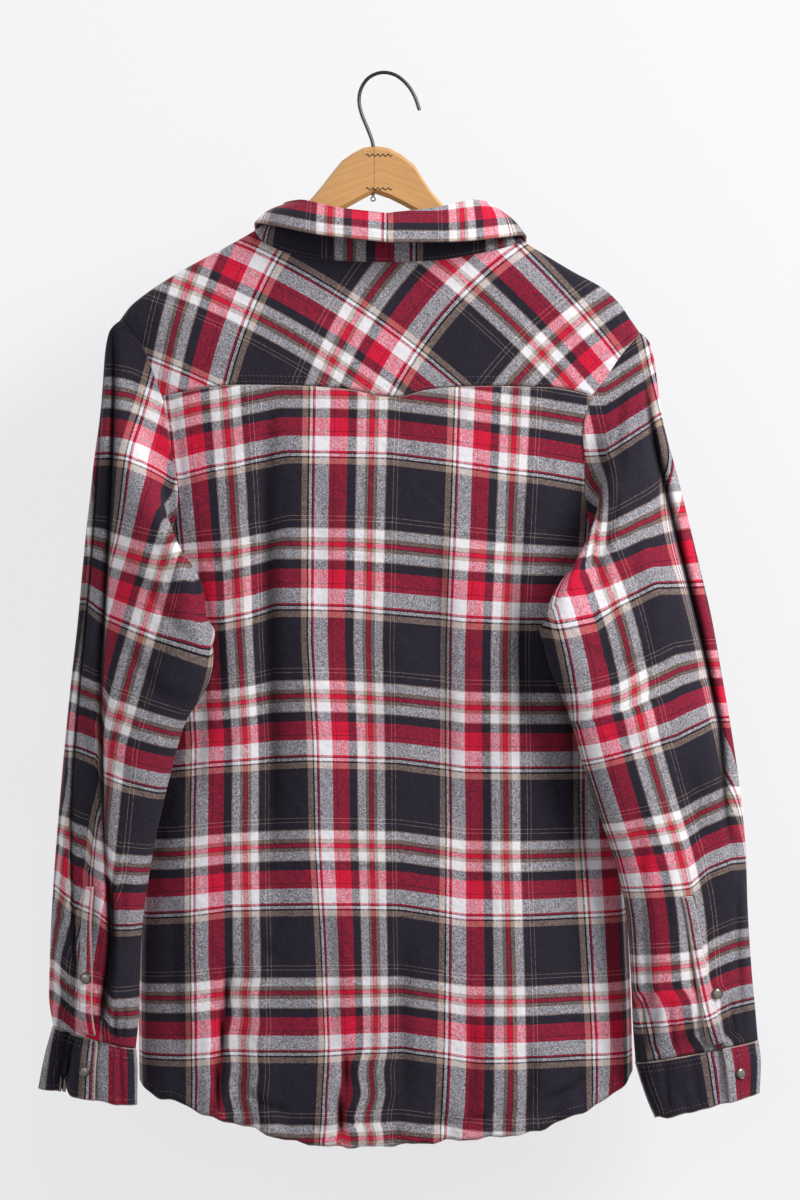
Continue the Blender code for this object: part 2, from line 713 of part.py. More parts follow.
STAND_TURNS = (
    [STAND_LAP, 181] + front_turns(1) + YOKE_TURNS[1:-1] + front_turns(-1)[::-1] + [-STAND_LAP]
)
STAND_ROWS = 3
STAND_START = 1.0      # from the neck seam to the stand's lower edge
STAND_GAP = 2.2        # from the stand's upper edge to the leaf's first row
LAP_LIFT = BAND + SEAM + 1.1
LAP_START = 148        # the turn at which the collar's left end starts to stand out
LAP_RUN = 12           # and how many degrees further it is fully out
LEAF_BOW = 2.5         # how far the leaf bows out between its fold and its edge
LEAF_TURNS = (
    [LEAF_END] + [turn for turn in STAND_TURNS if abs(turn) < LEAF_END - 4] + [-LEAF_END]
)
LEAF_ARC = (180, 125, 70, 20)      # degrees round the fold, from the inside
LEAF_FALL_ROWS = 4


def ring_point(rows, middle, turn):
    """A point on one of the collar's rings."""
    wrapped = (turn + 180) % 360 - 180
    side = 1 if math.sin(math.radians(turn)) >= 0 else -1
    across = read(rows, "turn", "across", abs(wrapped))
    if abs(turn) > 180:
        across = (abs(turn) - 180) / (STAND_LAP - 180) * NECK_HALF * math.sin(math.radians(7))
    depth = read(rows, "turn", "depth", abs(wrapped))
    return Vector((middle + side * across, depth, -read(rows, "turn", "drop", abs(wrapped))))


def leaf_edge(turn):
    """The leaf's free edge."""
    point = ring_point(LEAF, LEAF_MIDDLE, turn)
    point.z += LEAF_TILT * math.sin(math.radians(turn))
    return point


def lap_lift(turn):
    """How far the collar's left end stands out, where it lies on the right end."""
    return LAP_LIFT * smooth_step((turn - LAP_START) / LAP_RUN)


def fold_frame(turn):
    """The fold line's point, the level direction out of the ring there, and what is upright."""
    fold = ring_point(FOLD, FOLD_MIDDLE, turn)
    before, after = (ring_point(FOLD, FOLD_MIDDLE, turn + step) for step in (-1, 1))
    run = after - before
    out = Vector((-run.y, run.x, 0.0)).normalized()
    out = out if out.dot(Vector((fold.x, fold.y, 0))) > 0 else -out
    up = out.cross(run).normalized()
    return fold, out, up if up.z > 0 else -up


def stand_surface(turn, up):
    """A point of the stand, from 0 at the neck seam to 1 under the fold."""
    neck = torso(*neck_point(turn))
    fold, _, upright = fold_frame(turn)
    top = fold - upright * (FOLD_RADIUS + STAND_GAP)
    start = neck + (top - neck).normalized() * STAND_START
    point = mix(start, top, up)
    point.y -= lap_lift(turn)
    return point


def leaf_surface(turn, row):
    """A point of the leaf, by its row from the stand's top, over the fold, to the free edge."""
    fold, out, upright = fold_frame(turn)
    fold.y -= lap_lift(turn) if turn > 0 else lap_lift(-turn) / 2
    angle = math.radians(LEAF_ARC[min(row, len(LEAF_ARC) - 1)])
    bend = fold + (out * (1 + math.cos(angle)) + upright * (math.sin(angle) - 1)) * FOLD_RADIUS
    down = (row - len(LEAF_ARC) + 1) / LEAF_FALL_ROWS
    if down <= 0:
        return bend
    edge = leaf_edge(turn)
    bow = LEAF_BOW * math.sin(math.pi * down)
    return mix(bend, edge, down) + (out + Vector((0, 0, 0.6))) * bow


def make_collar(material):
    def place_stand(column, row):
        return stand_surface(STAND_TURNS[column], row / STAND_ROWS)

    def place_leaf(column, row):
        return leaf_surface(LEAF_TURNS[column], row)

    wall("collar_stand", len(STAND_TURNS) - 1, STAND_ROWS, place_stand, BAND, material)
    rows = len(LEAF_ARC) - 1 + LEAF_FALL_ROWS
    wall("collar", len(LEAF_TURNS) - 1, rows, place_leaf, BAND, material)


# ---------------------------------------------------------------- sleeves

SLEEVE_ROWS = (0, 0.03, 0.065, 0.10, 0.14, 0.18, 0.22, 0.27, 0.33, 0.39, 0.45, 0.51, 0.57, 0.63,
               0.70, 0.77, 0.84, 0.90, 0.95, 1.0)
ARMHOLE_STEP = 1.6     # how much further out it starts where the cloth turns away sharply
ARMHOLE_LAP = CLOTH + SEAM + 0.25      # the sleeve lies on the panels at the armhole
CUFF_LAP_START = 0.55  # how long before a full turn the lower lap starts to go under
CUFF_LAP_RUN = 0.5     # and over what part of a turn it does
CUFF_COLUMNS = 30
CUFF_ROWS = 3


def section(rows, key, at, turn, power, beside=None):
    """A point round a sleeve's or a cuff's section, and the direction of its depth.

    turn is 0 at the outer edge and half a turn at the inner edge, by way of the back. beside
    moves the inner edge, for the front wall alone.
    """
    out = Vector((read(rows, key, "out", at), read(rows, key, "out_y", at),
                  -read(rows, key, "out_drop", at)))
    inn = Vector((read(rows, key, "inn", at), read(rows, key, "inn_y", at),
                  -read(rows, key, "inn_drop", at)))
    cosine = math.cos(turn)
    side = 1 if math.sin(turn) >= 0 else -1
    if beside and side < 0:
        inn = beside(inn, -mix(out, inn, (1 - cosine) / 2).z)
    chord = (inn - out).normalized()
    depth_axis = (Vector((0, 1, 0)) - chord * chord.y).normalized()
    height = superellipse(cosine, power) * read(rows, key, "back" if side > 0 else "front", at)
    return mix(out, inn, (1 - cosine) / 2), depth_axis, height, side


def sleeve_section(name, along, turn):
    """A point of a sleeve well below its armhole."""
    def beside(inn, drop):
        """Above the underarm the front wall's inner edge stays beside the torso."""
        free = min(max((drop - BESIDE_FROM) / (BESIDE_TO - BESIDE_FROM), 0.0), 1.0)
        across = mix(BESIDE * SIDES[name], inn.x, smooth_step(free * free))
        return Vector((across, mix(BESIDE_DEPTH, inn.y, 1 - (1 - free) ** 2), inn.z))

    base, depth_axis, height, side = section(
        SLEEVES[name], "along", along, turn, SLEEVE_POWER, beside)
    across = (1 - math.cos(turn)) / 2
    if side < 0:
        belly = read(SLEEVES[name], "along", "belly", along)
        swell = math.exp(-((across - BELLY_ACROSS) / BELLY_WIDTH) ** 2)
        height += belly * superellipse(math.cos(turn), 2) * swell
    for crease in SLEEVE_CREASES[name]:
        if crease.side != side:
            continue
        t = (along - crease.along0) / (crease.along1 - crease.along0)
        if 0 < t < 1:
            line = mix(crease.across0, crease.across1, t)
            fade = 1 - (2 * t - 1) ** 4
            fade *= superellipse(math.cos(turn), 4)
            height -= crease.depth * fade * math.exp(-((across - line) / crease.width) ** 2)
    return base + depth_axis * height * side


def leading_out(tangent, side):
    """The direction in which a sleeve's cloth leaves the armhole."""
    lead = tangent * 0.5
    lead.y = max(lead.y, 0.0)
    return (lead + Vector((side, 0, -0.35))).normalized()


def armhole_stations(side):
    """Each station round an armhole, from the tip by way of the back: its point, the direction
    in which the torso's cloth leads out of it, and the step from there to the sleeve's edge."""
    outline = yoke_outline()
    if side < 0:
        outline = outline[::-1]
    count = YOKE_ARM_FRONT + YOKE_ARM_BACK

    def yoke_station(index):
        column = index if side > 0 else len(YOKE_TURNS) - 1 - index
        neck = neck_point(YOKE_TURNS[column])
        neck = (around(neck[0], side > 0), neck[1])
        inside = torso(*mix(Vector(neck), Vector(outline[index]), 0.96))
        point = torso(*outline[index])
        tangent = (point - inside).normalized()
        out = leading_out(tangent, side)
        return point, out, out * (SEAM + ARMHOLE_STEP * tangent.cross(out).length)

    def panel_station(drop, back):
        angle, drop = armhole_point(side, drop, back)
        middle = math.pi / 2 if back else -math.pi / 2
        point = torso(angle, drop)
        tangent = (point - torso(mix(angle, middle, 0.04), drop)).normalized()
        face = surface_normal(torso, angle, drop, (side, 0.3 if back else -0.3, 0))
        return point, leading_out(tangent, side), face * ARMHOLE_LAP

    back = [yoke_station(index) for index in range(YOKE_ARM_FRONT, count + 1)]
    back += [panel_station(drop, True) for drop in arm_drops(YOKE_CORNER, BACK_ARM_ROWS)[1:]]
    front = [panel_station(drop, False) for drop in arm_drops(YOKE_FRONT, FRONT_ARM_ROWS)[-2::-1]]
    front += [yoke_station(index) for index in range(1, YOKE_ARM_FRONT)]
    return back + front


def make_sleeve_grid(name):
    """The sleeve's points, by column round the armhole and by row down to the cuff."""
    side = SIDES[name]
    ring = armhole_stations(side)
    count = len(ring)
    lengths = [0.0]
    for index in range(count):
        lengths.append(lengths[-1] + (ring[(index + 1) % count][0] - ring[index][0]).length)

    def place(column, along):
        part = lengths[column] / lengths[-1]
        point, out, step = ring[column % count]
        turn = 2 * math.pi * part + UNDERARM_TURN * math.pi * math.sin(math.pi * part) ** 2
        start = point + step
        reach = CAP_REACH
        if part > 0.49:
            reach = max(reach, BESIDE + 9 - side * point.x)
        blend = smooth_step(along / CAP_BLEND)
        leaving = mix(start, start + out * reach, blend)
        arriving = mix(start + out * reach, sleeve_section(name, along, turn), blend)
        return mix(leaving, arriving, blend)

    grid = [[place(column, along) for along in SLEEVE_ROWS] for column in range(count)]
    return grid + grid[:1]


def make_sleeve(name, material):
    grid = make_sleeve_grid(name)
    wall("sleeve_" + name, len(grid) - 1, len(SLEEVE_ROWS) - 1,
         lambda column, row: grid[column][row], CLOTH, material, closed=True)


def turn_at(across):
    """Turn round the back of a section, from how far across it lies."""
    return math.acos(1 - 2 * across)


def cuff_surface(name, down, turned):
    """A point of a cuff, by how far its band has turned from its upper lap's free edge."""
    turn = turn_at(CUFF_EDGE[name]) - turned
    base, depth_axis, height, side = section(CUFFS[name], "down", down, turn, SLEEVE_POWER)
    dent_across, dent, dent_width = CUFF_DENT[name]
    if side > 0:
        across = (1 - math.cos(turn)) / 2
        dent *= smooth_step(down / 0.5)
        height -= dent * math.exp(-((across - dent_across) / dent_width) ** 2)
    under = smooth_step((turned - 2 * math.pi + CUFF_LAP_START) / CUFF_LAP_RUN)
    return base + depth_axis * (height - under * LAP_LIFT) * side


def make_cuff(name, material):
    full = 2 * math.pi + CUFF_LAP

    def place(column, row):
        return cuff_surface(name, row / CUFF_ROWS, full * column / CUFF_COLUMNS)

    wall("cuff_" + name, CUFF_COLUMNS, CUFF_ROWS, place, BAND, material)


def on_grid(grid, column, row):
    """A point between a grid's points."""
    low_c, low_r = min(int(column), len(grid) - 2), min(int(row), len(grid[0]) - 2)
    t = row - low_r
    before, after = (mix(grid[c][low_r], grid[c][low_r + 1], t) for c in (low_c, low_c + 1))
    return mix(before, after, column - low_c)


def between(start, end):
    """Start, the whole numbers after it, and end: where a strip crosses a grid's own lines."""
    inner = [whole for whole in range(math.floor(start) + 1, math.ceil(end))
             if whole - start > 0.15 and end - whole > 0.15]
    return [start, *inner, end]


def make_sleeve_trim(name, cloth, pearl):
    """The sleeve's placket and the snaps on the placket and the cuff."""
    grid = make_sleeve_grid(name)
    along0, along1, half = SLEEVE_PLACKET[name]
    across, along = SLEEVE_SNAP[name]

    def row_at(target):
        low = bisect_right(SLEEVE_ROWS, target) - 1
        return low + (target - SLEEVE_ROWS[low]) / (SLEEVE_ROWS[low + 1] - SLEEVE_ROWS[low])

    def column_at(target):
        row = round(row_at(along))
        inn, out = (read(SLEEVES[name], "along", key, along) for key in ("inn", "out"))
        aim = mix(out, inn, target)
        for column in range(len(grid) // 2):
            here, after = grid[column][row].x, grid[column + 1][row].x
            if min(here, after) <= aim <= max(here, after):
                return column + (aim - here) / (after - here)
        return len(grid) / 4

    def raised(column, row, lift):
        normal = surface_normal(lambda c, r: on_grid(grid, c, r), column, row, (0, 1, 0), 0.5)
        return on_grid(grid, column, row) + normal * lift

    columns = between(column_at(across - half), column_at(across + half))
    rows = between(row_at(along0), row_at(along1))
    wall("sleeve_placket_" + name, len(columns) - 1, len(rows) - 1,
         lambda column, row: raised(columns[column], rows[row], PLACKET_LIFT + SEAM), BAND, cloth)

    column, row = column_at(across), row_at(along)
    normal = surface_normal(lambda c, r: on_grid(grid, c, r), column, row, (0, 1, 0), 0.5)
    face = raised(column, row, PLACKET_LIFT + SEAM + BAND / 2)
    make_snap("snap_sleeve_" + name, face, normal, pearl)

    def cuff_face(down, turned):
        return cuff_surface(name, down, turned)

    turned = turn_at(CUFF_EDGE[name]) - turn_at(CUFF_SNAP_ACROSS[name])
    normal = surface_normal(cuff_face, 0.5, turned, (0, 1, 0))
    make_snap("snap_cuff_" + name, cuff_face(0.5, turned) + normal * BAND / 2, normal, pearl)


# ---------------------------------------------------------------- hanger

def ridge_drop(across):
    """Drop of the shoulder's ridge at a distance along X."""
    side = "left" if across > 0 else "right"
    tip = TIP[SIDES[side]]
    slope = [Line(abs(getattr(row, side)), row.drop) for row in TORSO if row.drop <= tip]
    return read(slope, "across", "drop", abs(across))


def wood_stations(name):
    """Across position, upper drop and lower drop of each section of one half of the hanger."""
    side = SIDES[name]
    rows = [(WOOD_SEAM + side * (row.out + SEAM / 2), row.top, row.bottom) for row in WOOD[name]]
    reach = WOOD_REACH[name]
    last = abs(rows[-1][0])
    for distance in stations(last, reach - 8, 7)[1:]:
        dip = NECK_DIP * smooth_step((NECK_OUT[name] + 8 - distance) / 10)
        top = ridge_drop(side * max(distance, 97)) + WOOD_REST + dip
        rows.append((side * distance, top, top + ARM_HEIGHT))
    top, bottom = rows[-1][1:]
    for step, shrink in ((4, 0.12), (7, 0.30)):
        drop = step * 0.6
        rows.append((side * (reach - 8 + step), top + drop + ARM_HEIGHT * shrink / 2,
                     bottom + drop - ARM_HEIGHT * shrink))
    return rows


def make_wood(name, material, cutter):
    rows = wood_stations(name)
    half, flat = WOOD_THICK / 2, WOOD_THICK / 2 - WOOD_BEVEL
    corners = ((-flat, 0, 0), (flat, 0, 0), (half, 1, 0), (half, -1, 1), (flat, 0, 1),
               (-flat, 0, 1), (-half, -1, 1), (-half, 1, 0))

    bm = bmesh.new()
    bmesh.ops.create_grid(bm, x_segments=len(corners), y_segments=len(rows) - 1, size=0.5)
    for vert in bm.verts:
        depth, bevel, lower = corners[round((vert.co.x + 0.5) * len(corners)) % len(corners)]
        across, top, bottom = rows[round((vert.co.y + 0.5) * (len(rows) - 1))]
        edge = bottom if lower else top
        vert.co = Vector((across, depth, -(edge + bevel * WOOD_BEVEL))) * MM
    bmesh.ops.remove_doubles(bm, verts=bm.verts, dist=0.01 * MM)
    bmesh.ops.holes_fill(bm, edges=bm.edges, sides=0)
    bmesh.ops.recalc_face_normals(bm, faces=bm.faces)
    item = add_object(bm, "hanger_wood_" + name, material)
    hole = item.modifiers.new("wire hole", "BOOLEAN")
    hole.operation = "DIFFERENCE"
    hole.object = cutter
    return item


def make_wire_cutter():
    bm = bmesh.new()
    bmesh.ops.create_cone(bm, cap_ends=True, segments=12, radius1=WIRE_HOLE_RADIUS * MM,
                          radius2=WIRE_HOLE_RADIUS * MM, depth=0.08)
    bmesh.ops.translate(bm, verts=bm.verts, vec=Vector((WIRE_ACROSS, 0, -85)) * MM)
    mesh = bpy.data.meshes.new("wire_cutter")
    bm.to_mesh(mesh)
    bm.free()
    cutter = bpy.data.objects.new("wire_cutter", mesh)
    bpy.context.collection.objects.link(cutter)
    cutter.hide_render = True
    cutter.display_type = "WIRE"
    return cutter


def through_points(rows, per_span):
    """Points on a smooth curve through the rows."""
    points = [Vector((row.across, 0, -row.drop)) for row in rows]
    ends = [2 * points[0] - points[1]] + points + [2 * points[-1] - points[-2]]
    curve = []
    for a, b, c, d in zip(ends, ends[1:], ends[2:], ends[3:]):
        for step in range(per_span):
            t = step / per_span
            curve.append(0.5 * (2 * b + (c - a) * t + (2 * a - 5 * b + 4 * c - d) * t * t
                                + (3 * b - a - 3 * c + d) * t ** 3))
    return curve + [points[-1]]


def make_hook(material):
    curve = bpy.data.curves.new("hanger_hook", "CURVE")
    curve.dimensions = "3D"
    curve.bevel_depth = WIRE_RADIUS * MM
    curve.bevel_resolution = 2
    curve.use_fill_caps = True
    points = through_points(HOOK, 3)
    spline = curve.splines.new("POLY")
    spline.points.add(len(points) - 1)
    for knot, point in zip(spline.points, points):
        knot.co = (*(point * MM), 1)
    curve.materials.append(material)
    item = bpy.data.objects.new("hanger_hook", curve)
    bpy.context.collection.objects.link(item)


def make_eye(material):
    """The small ring at the wire's lower end, a round section spun about Y."""
    bm = bmesh.new()
    centre = Vector((WIRE_ACROSS, 0, -(HOOK[0].drop + SEAM + EYE_RADIUS + EYE_WIRE))) * MM
    circle = bmesh.ops.create_circle(bm, segments=6, radius=EYE_WIRE * MM)
    shift = centre + Vector((EYE_RADIUS * MM, 0, 0))
    bmesh.ops.translate(bm, verts=circle["verts"], vec=shift)
    bmesh.ops.spin(bm, geom=bm.edges[:] + bm.verts[:], cent=centre, axis=(0, 1, 0),
                   angle=2 * math.pi, steps=14, use_merge=True)
    bmesh.ops.remove_doubles(bm, verts=bm.verts, dist=0.005 * MM)
    bmesh.ops.recalc_face_normals(bm, faces=bm.faces)
    add_object(bm, "hanger_hook_eye", material)


# ---------------------------------------------------------------- the whole

def main():
    clear_scene()
    flannel = finish("flannel", FLANNEL, 0.95)
    contrast = finish("flannel_band", RED, 0.95)
    pearl = finish("snap", PEARL, 0.3, 0.4)
    beech = finish("wood", BEECH, 0.5)
    steel = finish("wire", STEEL, 0.35, 1.0)

    make_yoke(contrast)
    make_back(flannel)
    make_front("front_left", 1, flannel)
    make_front("front_right", -1, flannel)
    make_front_placket(contrast)
    make_collar(contrast)
    for name in SIDES:
        make_sleeve(name, flannel)
        make_cuff(name, contrast)
        make_sleeve_trim(name, contrast, pearl)

    out = Vector((0, -1, 0))
    for index, drop in enumerate(FRONT_SNAPS):
        face = front_surface(MIDDLE, drop) + out * (PLACKET_LIFT + BAND / 2)
        make_snap(f"snap_front_{index + 1}", face, out, pearl)
    normal = surface_normal(lambda turn, up: stand_surface(turn * 60, up), 3.0, 0.5, out)
    make_snap("snap_collar", stand_surface(180, 0.5) + normal * BAND / 2, normal, pearl)

    cutter = make_wire_cutter()
    for name in SIDES:
        make_wood(name, beech, cutter)
    make_hook(steel)
    make_eye(steel)


main()
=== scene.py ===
"""Looks of a plaid flannel western shirt that hangs, snapped shut, on a flat wooden hanger.

Metres outside, millimetres in the tables. +Z is up, the shirt's front faces -Y and the wearer's
left is +X. A "drop" is how far a point lies below the origin, "across" is how far along X.
"""
from __future__ import annotations

import logging
from bisect import bisect_right
from dataclasses import dataclass, field
from enum import Enum
from math import (acos, asin, atan2, ceil, copysign, cos, degrees, exp, floor, hypot, pi,
                  radians, sin, sqrt)
from typing import Callable, NamedTuple, Sequence

import bmesh
import bpy
import numpy as np
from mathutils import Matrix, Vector


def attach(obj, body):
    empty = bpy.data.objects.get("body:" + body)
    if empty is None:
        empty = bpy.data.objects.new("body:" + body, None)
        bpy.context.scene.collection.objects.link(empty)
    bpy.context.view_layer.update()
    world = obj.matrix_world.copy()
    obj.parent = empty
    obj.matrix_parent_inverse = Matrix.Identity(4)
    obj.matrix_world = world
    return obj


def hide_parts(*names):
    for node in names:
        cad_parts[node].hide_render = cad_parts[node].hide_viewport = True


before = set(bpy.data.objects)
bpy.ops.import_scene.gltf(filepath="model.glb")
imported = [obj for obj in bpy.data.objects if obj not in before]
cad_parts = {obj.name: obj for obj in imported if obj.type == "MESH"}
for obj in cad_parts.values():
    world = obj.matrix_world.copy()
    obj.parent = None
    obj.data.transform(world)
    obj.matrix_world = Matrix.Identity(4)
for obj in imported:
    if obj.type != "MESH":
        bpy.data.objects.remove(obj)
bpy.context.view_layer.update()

LOG = logging.getLogger("shirt")
MM = 0.001
BODY = "root"
SIDES = {"left": 1, "right": -1}
Pair = tuple[float, float]                        # an angle and a drop, or a column and a row
Seat = tuple[Vector, Vector]                      # a point, and the way that it faces
Station = tuple[Vector, Vector, Vector]
Curve = Callable[[np.ndarray], np.ndarray]        # a line's place across, by drop, or its drop
Measure = float | np.ndarray | Vector


# ---- tables of the cut, in millimetres

def rows_of(kind: type, *rows: tuple) -> tuple:
    """A table's rows, from their plain values."""
    return tuple(kind(*row) for row in rows)


class TorsoRow(NamedTuple):
    """A level of the torso: its two edges, the depths of its back and front, and its edges'."""

    drop: float
    left: float
    right: float
    back: float
    front: float
    edge: float


class ArmholeRow(NamedTuple):
    """Where the armhole seams lie across at one drop."""

    drop: float
    left_back: float
    right_back: float
    left_front: float
    right_front: float


class Line(NamedTuple):
    """A point of a seam or a hem. On the neck seam "across" is a turn in degrees."""

    across: float
    drop: float


class Ring(NamedTuple):
    """A point of a collar ring, by turn in degrees from the middle of the back."""

    turn: float
    across: float
    depth: float
    drop: float


class Fold(NamedTuple):
    """A trough in the torso along a line or, where the depth is negative, a ridge."""

    across0: float
    drop0: float
    across1: float
    drop1: float
    depth: float
    width: float


class Section(NamedTuple):
    """A level of a sleeve or cuff: outer and inner edge, half depths and the front's own belly."""

    at: float
    out: float
    out_drop: float
    out_y: float
    inn: float
    inn_drop: float
    inn_y: float
    back: float
    front: float
    belly: float = 0


class Crease(NamedTuple):
    """A trough along a sleeve, on its back or, where the side is -1, on its front."""

    across0: float
    along0: float
    across1: float
    along1: float
    depth: float
    width: float
    side: int


TORSO_ROWS = rows_of(TorsoRow,
    (128, 96, -96, 18, -18, 0), (135.5, 108, -107, 19, -19, 0), (145, 124, -122, 21, -20, 0),
    (154, 141, -136, 23, -21, 0), (164, 160, -153, 24, -22, 0), (176, 181, -173, 25, -23, 0),
    (189, 201, -196, 26, -24, 0), (202, 217, -208, 27, -25, 0), (214, 226, -216, 28, -26, 0),
    (224, 223, -223, 29, -27, 0), (250, 214, -213, 31, -29, -1), (286, 206, -204, 34, -31, -3),
    (340, 199, -196, 37, -33, -6), (415, 195, -192, 40, -34, -9), (455, 198, -197, 42, -35, -10),
    (627, 205, -207, 45, -36, -10), (799, 210, -216, 46, -35, -10), (925, 208, -219, 45, -33, -9))
ARMHOLE_ROWS = rows_of(ArmholeRow,
    (214, 226, -223, 226, -223), (224, 217, -223, 216, -223), (233, 207, -216, 205, -214),
    (243, 202, -208, 198, -206), (254, 198, -199, 192, -196), (269, 193, -191, 186, -187),
    (286, 187, -178, 179, -177), (318, 184, -175, 171, -170), (347, 178, -177, 168, -167),
    (365, 176, -177, 170, -169), (384, 178, -179, 176, -175), (400, 184, -184, 184, -183),
    (415, 195, -192, 195, -192))
BACK_YOKE = rows_of(Line,
    (-184, 279), (-144, 272), (-95, 271), (-47, 273), (-10, 281), (29, 274), (69, 271), (122, 270),
    (190, 279))
BACK_HEM = rows_of(Line,
    (-219, 862), (-203, 877), (-187, 887), (-155, 900), (-126, 910), (-61, 916), (28, 922),
    (82, 916), (116, 905), (142, 900), (168, 888), (199, 880), (212, 869))
NECK = rows_of(Line,
    (-180, 240), (-150, 226), (-125, 192), (-108, 163), (-98, 150), (-90, 145), (-70, 148),
    (-45, 155), (-20, 162), (0, 163.5), (25, 162), (45, 157), (65, 148), (90, 135.5), (98, 142),
    (108, 158), (125, 190), (150, 226), (180, 240))
FOLD_RING = rows_of(Ring,
    (0, 0, 34, 125), (30, 42, 32, 120), (60, 73, 20, 112), (90, 84, -2, 112), (120, 74, -24, 137),
    (150, 44, -35, 180), (172, 12, -38, 207), (180, 3, -38, 210))
LEAF_RING = rows_of(Ring,
    (0, 0, 56, 151), (30, 58, 51, 147), (60, 100, 34, 139), (80, 115, 12, 135), (90, 117, 0, 136),
    (100, 117, -17, 143), (110, 113, -29, 157), (130, 100, -41, 202), (150, 81, -45, 246),
    (168, 60, -44, 275), (180, 50, -42, 288))
BACK_FOLDS = rows_of(Fold,
    (99, 292, 93, 720, 8, 13), (-50, 420, -58, 700, 5, 12), (131, 765, 127, 935, 9, 10),
    (16, 800, 4, 940, 6, 10), (62, 420, 48, 930, -4, 20), (-112, 470, -110, 930, -4, 24),
    (158, 500, 170, 900, -4, 18), (-160, 560, -172, 900, 5, 14), (95, 178, 168, 238, 2.5, 10),
    (-95, 182, -165, 246, 2.5, 10), (55, 186, -60, 188, 2, 9), (172, 392, 110, 470, 3, 12),
    (-172, 392, -105, 470, 3, 12))
FRONT_FOLDS = rows_of(Fold,
    (112, 300, 96, 880, 7, 15), (-106, 330, -118, 890, 7, 15), (60, 420, 66, 920, -4, 18),
    (-58, 480, -64, 920, -4, 18), (152, 720, 148, 900, 7, 11), (-156, 700, -152, 900, 7, 11),
    (165, 385, 92, 470, 3, 12), (-165, 385, -92, 470, 3, 12))
SLEEVES = {
    "left": rows_of(Section,
        (0.0, 226, 216, 0, 182, 370, 40, 12, 10, 26),
        (0.08, 233, 246, 1, 170, 392, 50, 20, 12, 28),
        (0.16, 238, 285, 3, 160, 417, 58, 25, 13, 28),
        (0.25, 245, 325, 4, 151, 448, 64, 28, 14, 26),
        (0.33, 249, 365, 4, 145, 475, 67, 30, 14, 22),
        (0.42, 254, 415, 4, 143, 505, 69, 31, 15, 18),
        (0.5, 258, 470, 4, 151, 532, 68, 31, 15, 15),
        (0.58, 263, 530, 4, 169, 560, 65, 31, 17, 12),
        (0.66, 268, 590, 3, 181, 600, 59, 31, 20, 9),
        (0.76, 275, 670, 2, 197, 665, 51, 30, 22, 6),
        (0.86, 280, 745, 3, 208, 745, 45, 28, 21, 3),
        (0.95, 283, 800, 4, 210, 812, 39, 25, 20, 0), (1.0, 281, 822, 5, 212, 838, 34, 18, 17, 0)),
    "right": rows_of(Section,
        (0.0, -223, 226, 0, -180, 374, 40, 12, 10, 26),
        (0.08, -230, 254, 2, -174, 398, 50, 20, 12, 28),
        (0.16, -237, 285, 3, -160, 428, 58, 25, 13, 28),
        (0.25, -246, 318, 4, -146, 455, 64, 28, 14, 26),
        (0.33, -257, 360, 4, -138, 476, 67, 30, 14, 22),
        (0.42, -269, 412, 4, -141, 503, 69, 31, 15, 18),
        (0.5, -281, 463, 4, -152, 530, 68, 31, 15, 15),
        (0.58, -292, 525, 4, -165, 565, 65, 31, 17, 12),
        (0.66, -302, 585, 4, -179, 615, 59, 31, 20, 9),
        (0.76, -311, 660, 4, -200, 672, 51, 30, 22, 6),
        (0.86, -314, 735, 5, -213, 735, 45, 28, 21, 3),
        (0.95, -321, 808, 6, -217, 818, 39, 24, 20, 0),
        (1.0, -324, 834, 7, -219, 850, 34, 17, 17, 0)),
}
SLEEVE_CREASES = {
    "left": rows_of(Crease,
        (0.18, 0.2, 0.2, 0.6, 9, 0.1, 1), (0.28, 0.52, 0.74, 0.97, 9, 0.11, 1),
        (0.62, 0.3, 0.7, 0.62, 4, 0.12, 1), (0.35, 0.15, 0.45, 0.8, 7, 0.14, -1),
        (0.68, 0.55, 0.6, 0.98, 6, 0.14, -1)),
    "right": rows_of(Crease,
        (0.13, 0.18, 0.14, 0.75, 8, 0.08, 1), (0.66, 0.12, 0.72, 0.52, 5, 0.12, 1),
        (0.46, 0.6, 0.42, 0.98, 5, 0.14, 1), (0.4, 0.15, 0.45, 0.8, 7, 0.14, -1),
        (0.7, 0.5, 0.62, 0.98, 6, 0.14, -1)),
}
CUFFS = {
    "left": rows_of(Section,
        (0.0, 281, 822.7, 5, 212, 838.7, 34, 18, 17), (0.4, 288, 848, 5, 211, 858, 31, 21, 20),
        (1.0, 294, 876, 5, 211, 888, 29, 20, 19)),
    "right": rows_of(Section,
        (0.0, -324, 834.7, 7, -219, 850.7, 34, 17, 17), (0.4, -326, 853, 7, -225, 870, 30, 19, 18),
        (1.0, -325, 880, 7, -236, 900, 27, 18, 17)),
}


# ---- small sums

def read(rows: Sequence[NamedTuple], column: str, at: float) -> float:
    """A column of a table between its rows, on a smooth curve that never overshoots.

    Args:
        rows: the table, in order of its first column.
        column: the name of the column to read.
        at: the first column's value.

    Returns:
        The column's value there.
    """
    keys, values = [row[0] for row in rows], [getattr(row, column) for row in rows]
    if at <= keys[0] or at >= keys[-1]:
        return values[0 if at <= keys[0] else -1]

    def slope(index: int) -> float:
        """Slope at a row: the harmonic mean of its two secants."""
        spans = range(max(index - 1, 0), min(index + 1, len(keys) - 1))
        secants = [(values[k + 1] - values[k]) / (keys[k + 1] - keys[k]) for k in spans]
        before, after = secants[0], secants[-1]
        if len(secants) == 1:
            return before
        return 0.0 if before * after <= 0 else 2 * before * after / (before + after)

    low = bisect_right(keys, at) - 1
    width = keys[low + 1] - keys[low]
    t = (at - keys[low]) / width
    start = (1 + 2 * t) * (1 - t) ** 2 * values[low] + t * (1 - t) ** 2 * width * slope(low)
    end = t * t * (3 - 2 * t) * values[low + 1] - t * t * (1 - t) * width * slope(low + 1)
    return start + end


